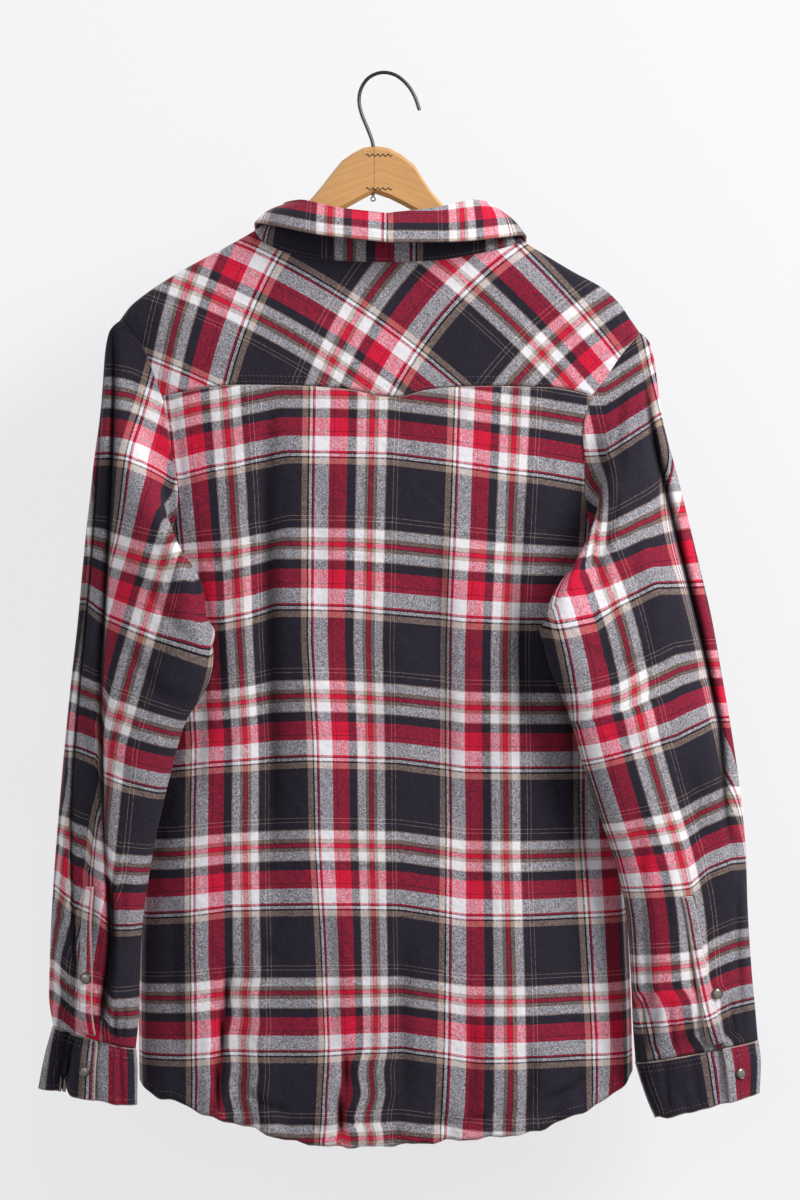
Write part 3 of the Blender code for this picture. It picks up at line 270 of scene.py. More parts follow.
def mix(a: Measure, b: Measure, t: float) -> Measure:
    """A value or a vector part of the way from a to b."""
    return a + (b - a) * t


def smooth_step(t: float | np.ndarray) -> float | np.ndarray:
    """0 below 0, 1 above 1, and an even curve between, for a number or an array."""
    t = np.clip(t, 0.0, 1.0)
    return t * t * (3 - 2 * t)


def half_turn(side: float, back: bool = True) -> float:
    """The angle of a side's edge, on the back's or on the front's half."""
    return 0.0 if side > 0 else pi * (1 if back else -1)


def superellipse(cosine: float, power: float) -> float:
    """Height of a rounded section, from 1 in its middle to 0 at its edges."""
    return max(0.0, 1 - abs(cosine) ** power) ** (1 / power)


def stations(start: float, end: float, count: int, power: float = 1.0) -> list[float]:
    """Steps from start to end, closer together at the start where the power is above 1."""
    return [mix(start, end, (step / count) ** power) for step in range(count + 1)]


def surface_normal(surface: Callable[[float, float], Vector], a: float, b: float,
                   outwards: tuple[float, float, float], step: float = 0.004) -> Vector:
    """Normal of a surface of two numbers, on the side of the given direction."""
    along_a = surface(a + step, b) - surface(a - step, b)
    along_b = surface(a, b + step) - surface(a, b - step)
    normal = along_a.cross(along_b).normalized()
    return normal if normal.dot(Vector(outwards)) >= 0 else -normal


# ---- the torso's form

@dataclass(frozen=True)
class Torso:
    """The filled-out body of the shirt, by angle round it and drop down it.

    The angle is 0 at the left edge, a quarter turn at mid back and below 0 at the front.
    """

    power: float = 2.6
    yoke_corner: float = 279
    yoke_front: float = 242
    underarm: float = 415
    middle: float = -7
    neck_half: float = 115
    neck_yoke_turn: float = 108
    corner_turn: float = 68
    left_tip: float = 214
    right_tip: float = 224
    hem_lift: float = 12
    hem_half: float = 215
    hem_drop: float = 900
    side_hem_drop: float = 870
    near_ridge: float = 1.6
    near_underarm: float = 1.4
    side_spread: float = 0.65
    yoke_arm_front: int = 4
    yoke_arm_back: int = 5
    back_columns: int = 26
    back_arm_rows: int = 6
    front_columns: int = 15
    front_arm_rows: int = 8
    yoke_rows: int = 6
    front_edge: float = 3
    seam: float = 0.3

    def tip(self, side: int) -> float:
        """Drop of a shoulder's tip."""
        return self.left_tip if side > 0 else self.right_tip

    def push(self, folds: Sequence[Fold], across: float, drop: float) -> float:
        """How far the folds push a point inwards."""
        total = 0.0
        for fold in folds:
            run = Vector((fold.across1 - fold.across0, fold.drop1 - fold.drop0))
            reach = Vector((across - fold.across0, drop - fold.drop0))
            t = min(max(reach.dot(run) / run.length_squared, 0.0), 1.0)
            distance = (reach - run * t).length / fold.width
            total += fold.depth * (1 - (2 * t - 1) ** 4) * exp(-distance * distance)
        return total

    def edges(self, drop: float) -> Pair:
        """Where the left and the right edge lie across."""
        return read(TORSO_ROWS, "left", drop), read(TORSO_ROWS, "right", drop)

    def angle(self, across: float, drop: float, back: bool = True) -> float:
        """Angle of a point, from how far across it lies."""
        left, right = self.edges(drop)
        cosine = (across - (left + right) / 2) / ((left - right) / 2)
        angle = acos(min(max(cosine, -1.0), 1.0))
        return angle if back else -angle

    def point(self, angle: float, drop: float) -> Vector:
        """A point on the middle of the cloth."""
        left, right = self.edges(drop)
        edge = read(TORSO_ROWS, "edge", drop)
        height = superellipse(cos(angle), self.power)
        across = (left + right) / 2 + (left - right) / 2 * cos(angle)
        if sin(angle) >= 0:
            depth = read(TORSO_ROWS, "back", drop) - self.push(BACK_FOLDS, across, drop)
        else:
            depth = read(TORSO_ROWS, "front", drop) + self.push(FRONT_FOLDS, across, drop)
        return Vector((across, edge + (depth - edge) * height, -drop))

    def front_point(self, across: float, drop: float) -> Vector:
        """A point of the front, from how far across it lies."""
        return self.point(self.angle(across, drop, False), drop)

    def armhole(self, side: int, drop: float, back: bool) -> Pair:
        """Angle and drop of a point on an armhole's seam."""
        column = ("left" if side > 0 else "right") + ("_back" if back else "_front")
        edge = half_turn(side, back)
        if drop <= self.tip(side):
            return edge, self.tip(side)
        if drop >= self.underarm:
            return edge, drop
        return self.angle(read(ARMHOLE_ROWS, column, drop), drop, back), drop

    def neck(self, turn: float) -> Pair:
        """Angle and drop of a point on the neck seam, by its turn in degrees from mid back."""
        wrapped = (turn + 180) % 360 - 180
        drop = read(NECK, "drop", wrapped)
        if abs(abs(wrapped) - 90) < 1e-6:
            return half_turn(wrapped), drop
        across = self.middle + self.neck_half * sin(radians(turn))
        return self.angle(across, drop, abs(wrapped) < 90), drop

    @staticmethod
    def around(angle: float, left_half: bool) -> float:
        """An angle above half a turn for the front on the right half."""
        return angle if left_half or angle >= 0 else angle + 2 * pi

    @property
    def yoke_turns(self) -> list[float]:
        """Turns of the neck stations over the yoke, from its left front to its right front."""
        front, back, corner = self.yoke_arm_front, self.yoke_arm_back, self.corner_turn
        return (stations(90, self.neck_yoke_turn, front, self.near_ridge)[::-1]
                + stations(90, corner, back, self.near_ridge)[1:]
                + stations(corner, -corner, self.back_columns)[1:]
                + stations(-90, -corner, back, self.near_ridge)[-2::-1]
                + stations(-90, -self.neck_yoke_turn, front, self.near_ridge)[1:])

    def arm_front_drops(self, side: int) -> list[float]:
        """Drops from the yoke's front seam up to the shoulder's tip."""
        start, count = self.tip(side), self.yoke_arm_front
        return stations(start, self.yoke_front, count, self.near_ridge)[::-1]

    def arm_back_drops(self, side: int) -> list[float]:
        """Drops from the shoulder's tip down to the yoke's back corner."""
        return stations(self.tip(side), self.yoke_corner, self.yoke_arm_back, self.near_ridge)

    def arm_drops(self, top_drop: float, rows: int) -> list[float]:
        """Drops down an armhole to the underarm."""
        return stations(self.underarm, top_drop, rows, self.near_underarm)[::-1]

    def back_spread(self, u: float) -> float:
        """Where a column of the back lies, with narrower steps at the two sides."""
        return mix(u, (1 - cos(pi * u)) / 2, self.side_spread)

    def front_spread(self, u: float) -> float:
        """The same for a front, which turns at one side only."""
        return mix(u, sin(pi / 2 * u), self.side_spread)

    def across_back(self, column: float, left: float, right: float) -> float:
        """Angle of a column of the back between the angles of its two ends."""
        part = self.back_spread(column / self.back_columns)
        return acos(mix(cos(left), cos(right), part))

    def seam_drop(self, angle: float) -> float:
        """Drop of the back yoke seam."""
        return read(BACK_YOKE, "drop", self.point(angle, self.yoke_corner).x)

    def front_hem(self, across: float) -> float:
        """Drop of the hem at the front, which is a little shorter in its middle."""
        lift = self.hem_lift * (1 - ((across - self.middle) / self.hem_half) ** 2)
        return read(BACK_HEM, "drop", across) - max(lift, 0.0)

    def yoke_outline(self) -> list[Pair]:
        """Angle and drop along the yoke's outer edge, from its left front to its right front."""
        points = [self.armhole(1, drop, False) for drop in self.arm_front_drops(1)]
        points += [self.armhole(1, drop, True) for drop in self.arm_back_drops(1)[1:]]
        left, right = (self.armhole(side, self.yoke_corner, True)[0] for side in (1, -1))
        for column in range(1, self.back_columns):
            angle = self.across_back(column, left, right)
            points.append((angle, self.seam_drop(angle)))
        points += [self.armhole(-1, drop, True) for drop in reversed(self.arm_back_drops(-1)[1:])]
        points += [self.armhole(-1, drop, False) for drop in reversed(self.arm_front_drops(-1))]
        return [(self.around(angle, index < len(points) / 2), drop)
                for index, (angle, drop) in enumerate(points)]

    def front_turns(self, side: int) -> list[float]:
        """Turns of the neck stations of a front, from its edge at the middle to the yoke."""
        edge = self.front_edge + side * self.seam / 2
        past = degrees(asin(side * (edge - self.middle) / self.neck_half))
        count = self.front_columns - self.yoke_rows
        return [side * turn for turn in stations(180 - past, self.neck_yoke_turn, count)]

    def side_edge(self, side: int, back: bool, top_drop: float, arm_rows: int,
                  rows: int) -> Callable[[float], Pair]:
        """Angle and drop down one side of a panel: along the armhole, then down to the hem."""
        across = self.point(half_turn(side), self.side_hem_drop).x
        hem = read(BACK_HEM, "drop", across)
        arm = self.arm_drops(top_drop, arm_rows)

        def edge(v: float) -> Pair:
            """The edge at a part of its length."""
            row = round(v * rows)
            if row <= arm_rows:
                return self.armhole(side, arm[row], back)
            drop = mix(self.underarm, hem, (row - arm_rows) / (rows - arm_rows))
            return half_turn(side, back), drop

        return edge


TORSO = Torso()


def panel(top: Callable, bottom: Callable, left: Callable, right: Callable, spread: Callable,
          u: float, v: float) -> Pair:
    """Angle and drop of a point of a panel, from its four edges.

    Args:
        top, bottom: edges by u; left, right: edges by v. Each gives an angle and a drop.
        spread: where a column lies, from 0 to 1.
        u: how far from the left edge, in columns.
        v: how far from the top edge, in rows.

    Returns:
        The angle, without its sign, and the drop.
    """
    def flat(point: Pair) -> Vector:
        """An angle's cosine, and the drop."""
        return Vector((cos(point[0]), point[1]))

    part = spread(u)
    point = mix(flat(left(v)), flat(right(v)), part)
    for edge, weight in ((top, (1 - v) ** 2.5), (bottom, v ** 1.5)):
        point += (flat(edge(u)) - mix(flat(edge(0)), flat(edge(1)), part)) * weight
    return acos(min(max(point.x, -1.0), 1.0)), point.y


def put(name: str, data: bpy.types.ID) -> bpy.types.Object:
    """A new object in the scene."""
    item = bpy.data.objects.new(name, data)
    bpy.context.collection.objects.link(item)
    return item


def put_mesh(name: str, bm: bmesh.types.BMesh) -> bpy.types.Object:
    """A new object from a mesh that is done with."""
    mesh = bpy.data.meshes.new(name)
    bm.to_mesh(mesh)
    bm.free()
    return put(name, mesh)


# ---- a sheet of cloth

@dataclass
class Grid:
    """A net of points of a cloth's middle surface, in millimetres, by column and by row."""

    points: np.ndarray
    closed: bool = False

    @classmethod
    def placed(cls, columns: int, rows: int, place: Callable[[int, int], Vector],
               closed: bool = False) -> Grid:
        """A net from a function of column and row."""
        return cls(np.array([[tuple(place(column, row)) for row in range(rows + 1)]
                             for column in range(columns + 1)]), closed)

    @staticmethod
    def weights(count: int, fine: int, closed: bool) -> np.ndarray:
        """How much each point of a line weighs in each finer point, on a smooth curve.

        Args:
            count: how many spans the line has.
            fine: how many finer spans each has.
            closed: whether the last point is the first one.

        Returns:
            A matrix, finer points by points.
        """
        table = np.zeros((count * fine + 1, count + 1))
        for index in range(count * fine + 1):
            span = min(index // fine, count - 1)
            t = index / fine - span
            cubic = ((-t + 2 * t * t - t ** 3) / 2, 1 + (3 * t ** 3 - 5 * t * t) / 2,
                     (t + 4 * t * t - 3 * t ** 3) / 2, (t ** 3 - t * t) / 2)
            for offset, weight in zip((-1, 0, 1, 2), cubic):
                at = span + offset
                if closed:
                    table[index, at % count] += weight
                elif 0 <= at <= count:
                    table[index, at] += weight
                else:
                    end, inner = (0, 1) if at < 0 else (count, count - 1)
                    table[index, end] += 2 * weight
                    table[index, inner] -= weight
        if closed:
            table[:, 0] += table[:, count]
            table[:, count] = 0
        return table

    def finer(self, across: int, down: int) -> Grid:
        """The same surface with finer spans."""
        columns, rows = self.points.shape[0] - 1, self.points.shape[1] - 1
        points = np.einsum("ac,cdk->adk", self.weights(columns, across, self.closed), self.points)
        points = np.einsum("bd,adk->abk", self.weights(rows, down, False), points)
        return Grid(points, self.closed)

    def lengths(self, axis: int) -> np.ndarray:
        """How far along its column (axis 1) or row (axis 0) each point lies."""
        steps = np.linalg.norm(np.diff(self.points, axis=axis), axis=2)
        start = np.zeros_like(np.take(steps, [0], axis=axis))
        return np.concatenate([start, np.cumsum(steps, axis=axis)], axis=axis)

    def normals(self) -> np.ndarray:
        """Unit normals of the net."""
        along = np.gradient(self.points, axis=0)
        down = np.gradient(self.points, axis=1)
        normal = np.cross(along, down)
        return normal / np.maximum(np.linalg.norm(normal, axis=2, keepdims=True), 1e-9)

    def reach_on(self, size: float) -> None:
        """Takes the first row on by a few millimetres, into the seam that it is sewn in."""
        lead = self.points[:, 0] - self.points[:, 2]
        self.points[:, 0] += lead / np.linalg.norm(lead, axis=-1, keepdims=True) * size

    def at(self, column: float, row: float) -> Vector:
        """A point between the net's points."""
        low_c = min(int(column), self.points.shape[0] - 2)
        low_r = min(int(row), self.points.shape[1] - 2)
        part = self.points[low_c:low_c + 2, low_r:low_r + 2]
        return Vector(mix(mix(part[0, 0], part[0, 1], row - low_r),
                          mix(part[1, 0], part[1, 1], row - low_r), column - low_c))


REPEAT = 128.0         # the plaid's repeat, both ways
EDGE_MM = 10           # millimetres from an edge, or deep in a fold, that make 1 on the edge map


def lay_on_lines(lengths: np.ndarray, marks: np.ndarray, repeat: float = REPEAT) -> np.ndarray:
    """Plaid repeats along one line of cloth that passes through marked repeats.

    Args:
        lengths: how far along the line each point lies.
        marks: the lengths at which whole repeats start, from the lowest, as (length, repeat) rows.
        repeat: the length of a repeat beyond the first and the last mark.

    Returns:
        The repeat and its part at each point.
    """
    at, value = marks[:, 0], marks[:, 1]
    sign = 1.0 if value[-1] >= value[0] else -1.0
    result = np.interp(lengths, at, value)
    result = np.where(lengths < at[0], value[0] + sign * (lengths - at[0]) / repeat, result)
    return np.where(lengths > at[-1], value[-1] + sign * (lengths - at[-1]) / repeat, result)


def cloth_mesh(name: str, grid: Grid, uv: np.ndarray, thickness: float,
               folds: np.ndarray | None = None) -> bpy.types.Object:
    """A wall of cloth: a flat grid moved to the net, with its plaid.

    Args:
        name: the piece's name.
        grid: the net of its middle surface.
        uv: plaid repeats, warp and weft, at each point of the net.
        thickness: of the wall, in millimetres.
        folds: how deep each point lies in a fold, in millimetres, which the flannel turns into
            painted shade.

    Returns:
        The new object.
    """
    columns, rows = grid.points.shape[0] - 1, grid.points.shape[1] - 1
    bm = bmesh.new()
    bmesh.ops.create_grid(bm, x_segments=columns, y_segments=rows, size=0.5)
    layer, rim = bm.loops.layers.uv.new("plaid"), bm.loops.layers.uv.new("edge")
    down, across = grid.lengths(1), grid.lengths(0)
    near = np.minimum(np.minimum(down, down[:, -1:] - down),
                      np.minimum(across, across[-1:] - across))
    # The fold depth rides on the edge map, for the flannel's painted shade in folds.
    depth = np.zeros(near.shape) if folds is None else np.clip(folds, 0, EDGE_MM)
    for vert in bm.verts:
        column, row = round((vert.co.x + 0.5) * columns), round((vert.co.y + 0.5) * rows)
        for loop in vert.link_loops:
            loop[layer].uv = uv[column, row]
            loop[rim].uv = (near[column, row] / EDGE_MM, depth[column, row] / EDGE_MM)
        vert.co = Vector(grid.points[column, row]) * MM
    if grid.closed:
        bmesh.ops.remove_doubles(bm, verts=bm.verts, dist=0.01 * MM)
    item = put_mesh(name, bm)
    item.data.shade_smooth()
    wall = item.modifiers.new("cloth", "SOLIDIFY")
    wall.thickness = thickness * MM
    wall.offset = 0.0
    wall.use_even_offset = False
    return item


# ---- shader tools

def operator(operation: str, swapped: bool = False) -> Callable[[Sum, Sum | float], Sum]:
    """A method of a sum that adds a Math node, with its operands swapped where asked."""
    def method(self: Sum, other: Sum | float) -> Sum:
        """The sum and the other operand, joined by the operation."""
        return self.join(operation, *((other, self) if swapped else (self, other)))

    return method


class Sum:
    """A socket that Python's operators add Math nodes to."""

    __add__, __radd__ = operator("ADD"), operator("ADD", True)
    __sub__, __rsub__ = operator("SUBTRACT"), operator("SUBTRACT", True)
    __mul__, __truediv__ = operator("MULTIPLY"), operator("DIVIDE")

    def __init__(self, tree: Tree, socket: bpy.types.NodeSocket) -> None:
        """Keeps the tree and the socket."""
        self.tree, self.socket = tree, socket

    def join(self, operation: str, a: Sum | float, b: Sum | float) -> Sum:
        """A Math node on two values or sums."""
        return self.tree.add("ShaderNodeMath", {"operation": operation}, [a, b])

    def call(self, operation: str, other: float = 0.0) -> Sum:
        """Any other operation of the Math node."""
        return self.join(operation, self, other)


class Tree:
    """The nodes of one material."""

    def __init__(self, name: str) -> None:
        """A new material with a Principled shader."""
        self.material = bpy.data.materials.new(name)
        self.material.use_nodes = True
        self.nodes = self.material.node_tree.nodes
        self.shader = self.nodes["Principled BSDF"]

    def join(self, value: Sum | float | tuple | None, socket: bpy.types.NodeSocket) -> None:
        """Links a socket or sets a plain value."""
        if isinstance(value, Sum):
            self.material.node_tree.links.new(value.socket, socket)
        elif value is not None:
            socket.default_value = value

    def add(self, kind: str, settings: dict | None = None, inputs: Sequence | dict = (),
            output: int | str = 0) -> Sum:
        """A node.

        Args:
            kind: the node's type.
            settings: attributes of the node, set first; "ramp" holds a ramp's stops.
            inputs: values or sums, by place in a list or by name in a dict.
            output: the output to return, by place or name.

        Returns:
            The output.
        """
        node = self.nodes.new(kind)
        for key, value in (settings or {}).items():
            if key == "ramp":
                self.stops(node.color_ramp, value)
            else:
                setattr(node, key, value)
        pairs = inputs.items() if isinstance(inputs, dict) else enumerate(inputs)
        for key, value in pairs:
            self.join(value, node.inputs[key])
        return Sum(self, node.outputs[output])

    @staticmethod
    def stops(ramp: bpy.types.ColorRamp, stops: Sequence[tuple[float, tuple]]) -> None:
        """Sets a ramp's stops, in order."""
        while len(ramp.elements) > 1:
            ramp.elements.remove(ramp.elements[-1])
        for index, (at, colour) in enumerate(stops):
            stop = ramp.elements[0] if index == 0 else ramp.elements.new(at)
            stop.position = at
            stop.color = (*colour, 1.0)

    def ramp(self, value: Sum, stops: Sequence[tuple[float, tuple]], hard: bool = False) -> Sum:
        """A colour ramp."""
        node = self.add("ShaderNodeValToRGB", {"ramp": stops}, [value])
        node.socket.node.color_ramp.interpolation = "CONSTANT" if hard else "LINEAR"
        return node

    def blend(self, factor: Sum | float, a: Sum | tuple, b: Sum | tuple,
              mode: str = "MIX") -> Sum:
        """Two colours mixed."""
        return self.add("ShaderNodeMix", {"data_type": "RGBA", "blend_type": mode},
                        {0: factor, 6: colour4(a), 7: colour4(b)}, 2)

    def noise(self, vector: Sum, scale: float, detail: float = 2.0, rough: float = 0.5) -> Sum:
        """Noise from 0 to 1 about 0.5."""
        return self.add("ShaderNodeTexNoise", {}, {"Vector": vector, "Scale": scale,
                                                   "Detail": detail, "Roughness": rough})

    def place(self) -> Sum:
        """Object coordinates."""
        return self.add("ShaderNodeTexCoord", output="Object")

    def axes(self, vector: Sum) -> list[Sum]:
        """A vector's three parts."""
        return [self.add("ShaderNodeSeparateXYZ", {}, [vector], part) for part in range(3)]

    def vector(self, *parts) -> Sum:
        """A vector from its three parts."""
        return self.add("ShaderNodeCombineXYZ", {}, parts)

    def shaded(self, colour: Sum | tuple, level: Sum) -> Sum:
        """A colour times a level."""
        return self.blend(1.0, colour, self.vector(level, level, level), "MULTIPLY")

    def bump(self, height: Sum, strength: float, distance: float) -> None:
        """Raises the surface by a height."""
        normal = self.add("ShaderNodeBump", {}, {"Strength": strength, "Distance": distance,
                                                 "Height": height})
        self.join(normal, self.shader.inputs["Normal"])

    def set(self, **values) -> None:
        """Sets or links the shader's sockets, with _ for a space in their names."""
        for key, value in values.items():
            self.join(value, self.shader.inputs[key.replace("_", " ")])


def colour4(value: Sum | tuple[float, ...]) -> Sum | tuple[float, ...]:
    """A colour with its alpha, or a sum as it is."""
    return (*value, 1.0) if isinstance(value, tuple) and len(value) == 3 else value


# ---- finishes

class Dye(Enum):
    """Colours of the plaid's yarns, in linear light."""

    CHARCOAL = (0.0230, 0.0195, 0.0310)
    BLACK = (0.0085, 0.0075, 0.0110)
    WHITE = (0.81, 0.79, 0.835)
    TAN = (0.38, 0.27, 0.21)
    RED = (0.62, 0.0125, 0.0460)


class Stripe(NamedTuple):
    """A stripe of the plaid: its yarns' colour, and how many units of the repeat it takes."""

    dye: Dye
    units: float


SETT = rows_of(Stripe,
    (Dye.TAN, 45), (Dye.BLACK, 10), (Dye.WHITE, 23), (Dye.BLACK, 12), (Dye.RED, 15),
    (Dye.WHITE, 110), (Dye.RED, 40), (Dye.BLACK, 5), (Dye.RED, 105), (Dye.CHARCOAL, 65),
    (Dye.TAN, 10), (Dye.WHITE, 70), (Dye.TAN, 25), (Dye.BLACK, 5), (Dye.RED, 35), (Dye.BLACK, 5),
    (Dye.TAN, 30), (Dye.WHITE, 65), (Dye.TAN, 10), (Dye.CHARCOAL, 55), (Dye.TAN, 4),
    (Dye.CHARCOAL, 26), (Dye.TAN, 4), (Dye.CHARCOAL, 396))
UNITS = sum(stripe.units for stripe in SETT)


def sett_stops() -> list[tuple[float, tuple]]:
    """The plaid's stripes as a ramp's stops: square roots, in which crossing yarns mix."""
    stops, at = [], 0.0
    for stripe in SETT:
        stops.append((at / UNITS, tuple(sqrt(part) for part in stripe.dye.value)))
        at += stripe.units
    return stops


@dataclass(frozen=True)
class Flannel:
    """Brushed plaid flannel in a fine twill: the warp and the weft carry the same stripes."""

    name: str
    slot: str
    edge_jitter: float = 0.0045
    speckle_mm: float = 1.3
    speckle: float = 1.5
    twill_mm: float = 1.1
    worn: float = 0.35
    worn_mm: float = 0.9
    # painted shade: how far a fold's depth darkens the colour, down to darkest
    fold_shade: float = 1.5
    crumple_mm: float = 13
    crumple: float = 12
    fuzz_mm: float = 1.1
    nap_mm: float = 2.2
    shade_mm: float = 38
    darkest: float = 0.08
    worn_colour: tuple[float, float, float] = (0.50, 0.40, 0.35)
    fluff_colour: tuple[float, float, float] = (0.42, 0.40, 0.41)

    def material(self) -> bpy.types.Material:
        """Builds the material."""
        tree = Tree(self.name)
        place = tree.place()
        uv = tree.add("ShaderNodeUVMap", {"uv_map": "plaid"})
        axes = tree.axes(uv)[:2]
        fuzz = tree.noise(place, 1 / (self.fuzz_mm * MM), 1.0)
        threads = []
        for axis in axes:
            turn = (axis + (fuzz - 0.5) * self.edge_jitter).call("FRACT")
            threads.append(tree.ramp(turn, sett_stops(), hard=True))
        grain = tree.noise(place, 1 / (self.speckle_mm * MM), 2.0, 0.7)
        lines = ((axes[0] + axes[1]) * (REPEAT / self.twill_mm * 2 * pi)).call("SINE")
        cover = 0.5 + (grain - 0.5) * self.speckle + lines * 0.12
        cover = cover.call("MAXIMUM", 0.1).call("MINIMUM", 0.9)
        root = tree.blend(cover, threads[0], threads[1])
        colour = tree.blend(1.0, root, root, "MULTIPLY")
        edge, fold, _ = tree.axes(tree.add("ShaderNodeUVMap", {"uv_map": "edge"}))
        # painted shade: the colour darkens with fold depth, standing in for the shade that falls
        # in folds
        inset, dark = edge * EDGE_MM / self.worn_mm, 1.0 - fold * self.fold_shade
        nap = tree.noise(place, 1 / (self.nap_mm * MM), 3.0, 0.75)
        shade = tree.noise(place, 1 / (self.shade_mm * MM), 2.0)
        level = (0.80 + nap * 0.30 + shade * 0.10) * dark.call("MAXIMUM", self.darkest)
        colour = tree.shaded(colour, level)
        worn = ((1 - inset + (grain - 0.5) * 1.6).call("MAXIMUM", 0.0).call("MINIMUM", 1.0)
                * self.worn)
        colour = tree.blend(worn, colour, self.worn_colour)
        fluff = (nap - 0.55).call("MAXIMUM", 0.0) * 0.18
        colour = tree.blend(fluff, colour, self.fluff_colour)
        tree.set(Base_Color=colour, Roughness=0.95, Specular_IOR_Level=0.10,
                 Sheen_Weight=0.05, Sheen_Roughness=0.5)
        crumple = tree.noise(place, 1 / (self.crumple_mm * MM), 2.0, 0.6)
        tree.bump(grain * 0.6 + nap * 0.4 + lines * 0.12 + crumple * self.crumple, 0.45, 0.35 * MM)
        return tree.material


# ---- wrinkles and the plaid's lines

CHART_STEP = 0.86      # millimetres a step of the charts, which are seen from the back
CHART_MIDDLE = 381     # the charts' step at the hook's middle, counted from the wearer's left
CHART_TOP = 71         # and at the rod


def lines_of(kind: type, *rows: tuple[float, ...]) -> tuple:
    """Lines of a chart: two values each, then the numbers of the spots that it passes through."""
    return tuple(kind(*row[:2], row[2:]) for row in rows)


class Wrinkle(NamedTuple):
    """A soft trough through spots of a chart, or a ridge where its depth is below 0."""

    depth: float
    width: float
    spots: tuple[float, ...]


class Tuck(NamedTuple):
    """A fold that runs down through spots of a chart and hides plaid outside its line.

    The plaid that it hides, the length over which it opens and its width are in millimetres.
    """

    spots: tuple[float, ...]
    hidden: float
    opening: float = 50
    fold: float = 3.0


def chart_spots(spots: Sequence[float]) -> np.ndarray:
    """Spots of a chart as distances across and drops, in millimetres."""
    x, y = np.reshape(spots, (-1, 2)).T
    return np.stack([CHART_STEP * (CHART_MIDDLE - x), CHART_STEP * (y - CHART_TOP)], -1)


def wrinkle_push(points: np.ndarray, wrinkles: Sequence[Wrinkle]) -> np.ndarray:
    """How far the wrinkles push each point inwards."""
    push = np.zeros(points.shape[:2])
    place = np.stack([points[..., 0], -points[..., 2]], axis=-1)
    for line in wrinkles:
        spots = chart_spots(line.spots)
        runs = np.diff(spots, axis=0)
        sizes = np.linalg.norm(runs, axis=1)
        nearest = np.full(push.shape, np.inf)
        along = np.zeros(push.shape)
        for index, (start, run, size) in enumerate(zip(spots, runs, sizes)):
            t = np.clip((place - start) @ run / (size * size), 0.0, 1.0)
            distance = np.linalg.norm(place - start - t[..., None] * run, axis=-1)
            closer = distance < nearest
            along = np.where(closer, (sizes[:index].sum() + t * size) / sizes.sum(), along)
            nearest = np.minimum(nearest, distance)
        fade = 1 - (2 * along - 1) ** 4
        push += line.depth * fade * np.exp(-(nearest / line.width) ** 2)
    return push


def edge_fade(grid: Grid, reach: float, sides: str) -> np.ndarray:
    """0 at a net's named sides (top, bottom, left or right), rising to 1 within the reach."""
    columns, rows = grid.points.shape[:2]
    fade = np.ones((columns, rows))
    down, across = grid.lengths(1), grid.lengths(0)
    for side, distance in (("top", down), ("bottom", down[:, -1:] - down),
                           ("left", across), ("right", across[-1:] - across)):
        if side in sides:
            fade *= smooth_step(distance / reach)
    return fade


def ripple(grid: Grid, reach: float, depth: float) -> None:
    """Ripples a net's lower edge, least at its ends."""
    fade = (1 - edge_fade(grid, reach, "bottom")) * edge_fade(grid, 25, "left right")
    x = grid.points[..., 0].copy()
    grid.points[..., 1] += depth * fade * (np.sin(x / 6.9 + 0.6) + 0.7 * np.sin(x / 3.7 + 1.3))
    grid.points[..., 2] += 0.5 * depth * fade ** 4 * (np.sin(x / 5.3) + 0.6 * np.sin(x / 2.9 + 2))


def crossing(values: np.ndarray, lengths: np.ndarray) -> float | None:
    """The length at which a row of values first changes sign."""
    for index in np.nonzero(values[:-1] * values[1:] <= 0)[0]:
        step = values[index] - values[index + 1]
        part = 0.0 if step == 0 else values[index] / step
        return float(mix(lengths[index], lengths[index + 1], part))
    return None


def warp_on_marks(grid: Grid, marks: Sequence[Curve],
                  first: float, sign: int, repeat: float, until: int | None = None) -> np.ndarray:
    """Warp repeats over a net whose rows cross marked lines.

    Args:
        grid: the net.
        marks: for each line, the across position at given drops, in the order of the columns.
        first: the repeat at the first line.
        sign: 1 where repeats grow with the columns.
        repeat: of the plaid, beyond the outer lines.
        until: the last column to look for lines in.

    Returns:
        The warp's repeat at each point.
    """
    lengths = grid.lengths(0)
    result = np.zeros(grid.points.shape[:2])
    last = until or grid.points.shape[0]
    column = None
    for row in range(grid.points.shape[1] - 1, -1, -1):
        across, drop = grid.points[:last, row, 0], -grid.points[:last, row, 2]
        found = []
        for index, mark in enumerate(marks):
            at = crossing(across - mark(drop), lengths[:last, row])
            if at is not None:
                found.append((at, first + sign * index))
        if found and len(found) < len(marks):
            present = {round((each[1] - first) * sign): each for each in found}
            for index in set(range(len(marks))) - set(present):
                known = min(present, key=lambda other: abs(other - index))
                edge = 0 if index < known else last - 1
                at = present[known][0]
                inner = float(np.interp(at, lengths[:last, row], across))
                bend = abs(float(lengths[edge, row]) - at) / max(abs(across[edge] - inner), 1.0)
                gap = abs(float(marks[index](drop[edge]) - marks[known](drop[edge])))
                found.append((at + copysign(gap * min(bend, 1.5), index - known),
                              first + sign * index))
            found.sort()
        if found:
            column = int(np.searchsorted(lengths[:last, row], found[0][0]))
        elif column is not None:
            found.append((lengths[min(column, last - 1), row], first))
        found.append((found[-1][0] + repeat, found[-1][1] + sign))
        result[:, row] = lay_on_lines(lengths[:, row], np.array(sorted(found)), repeat)
    return result


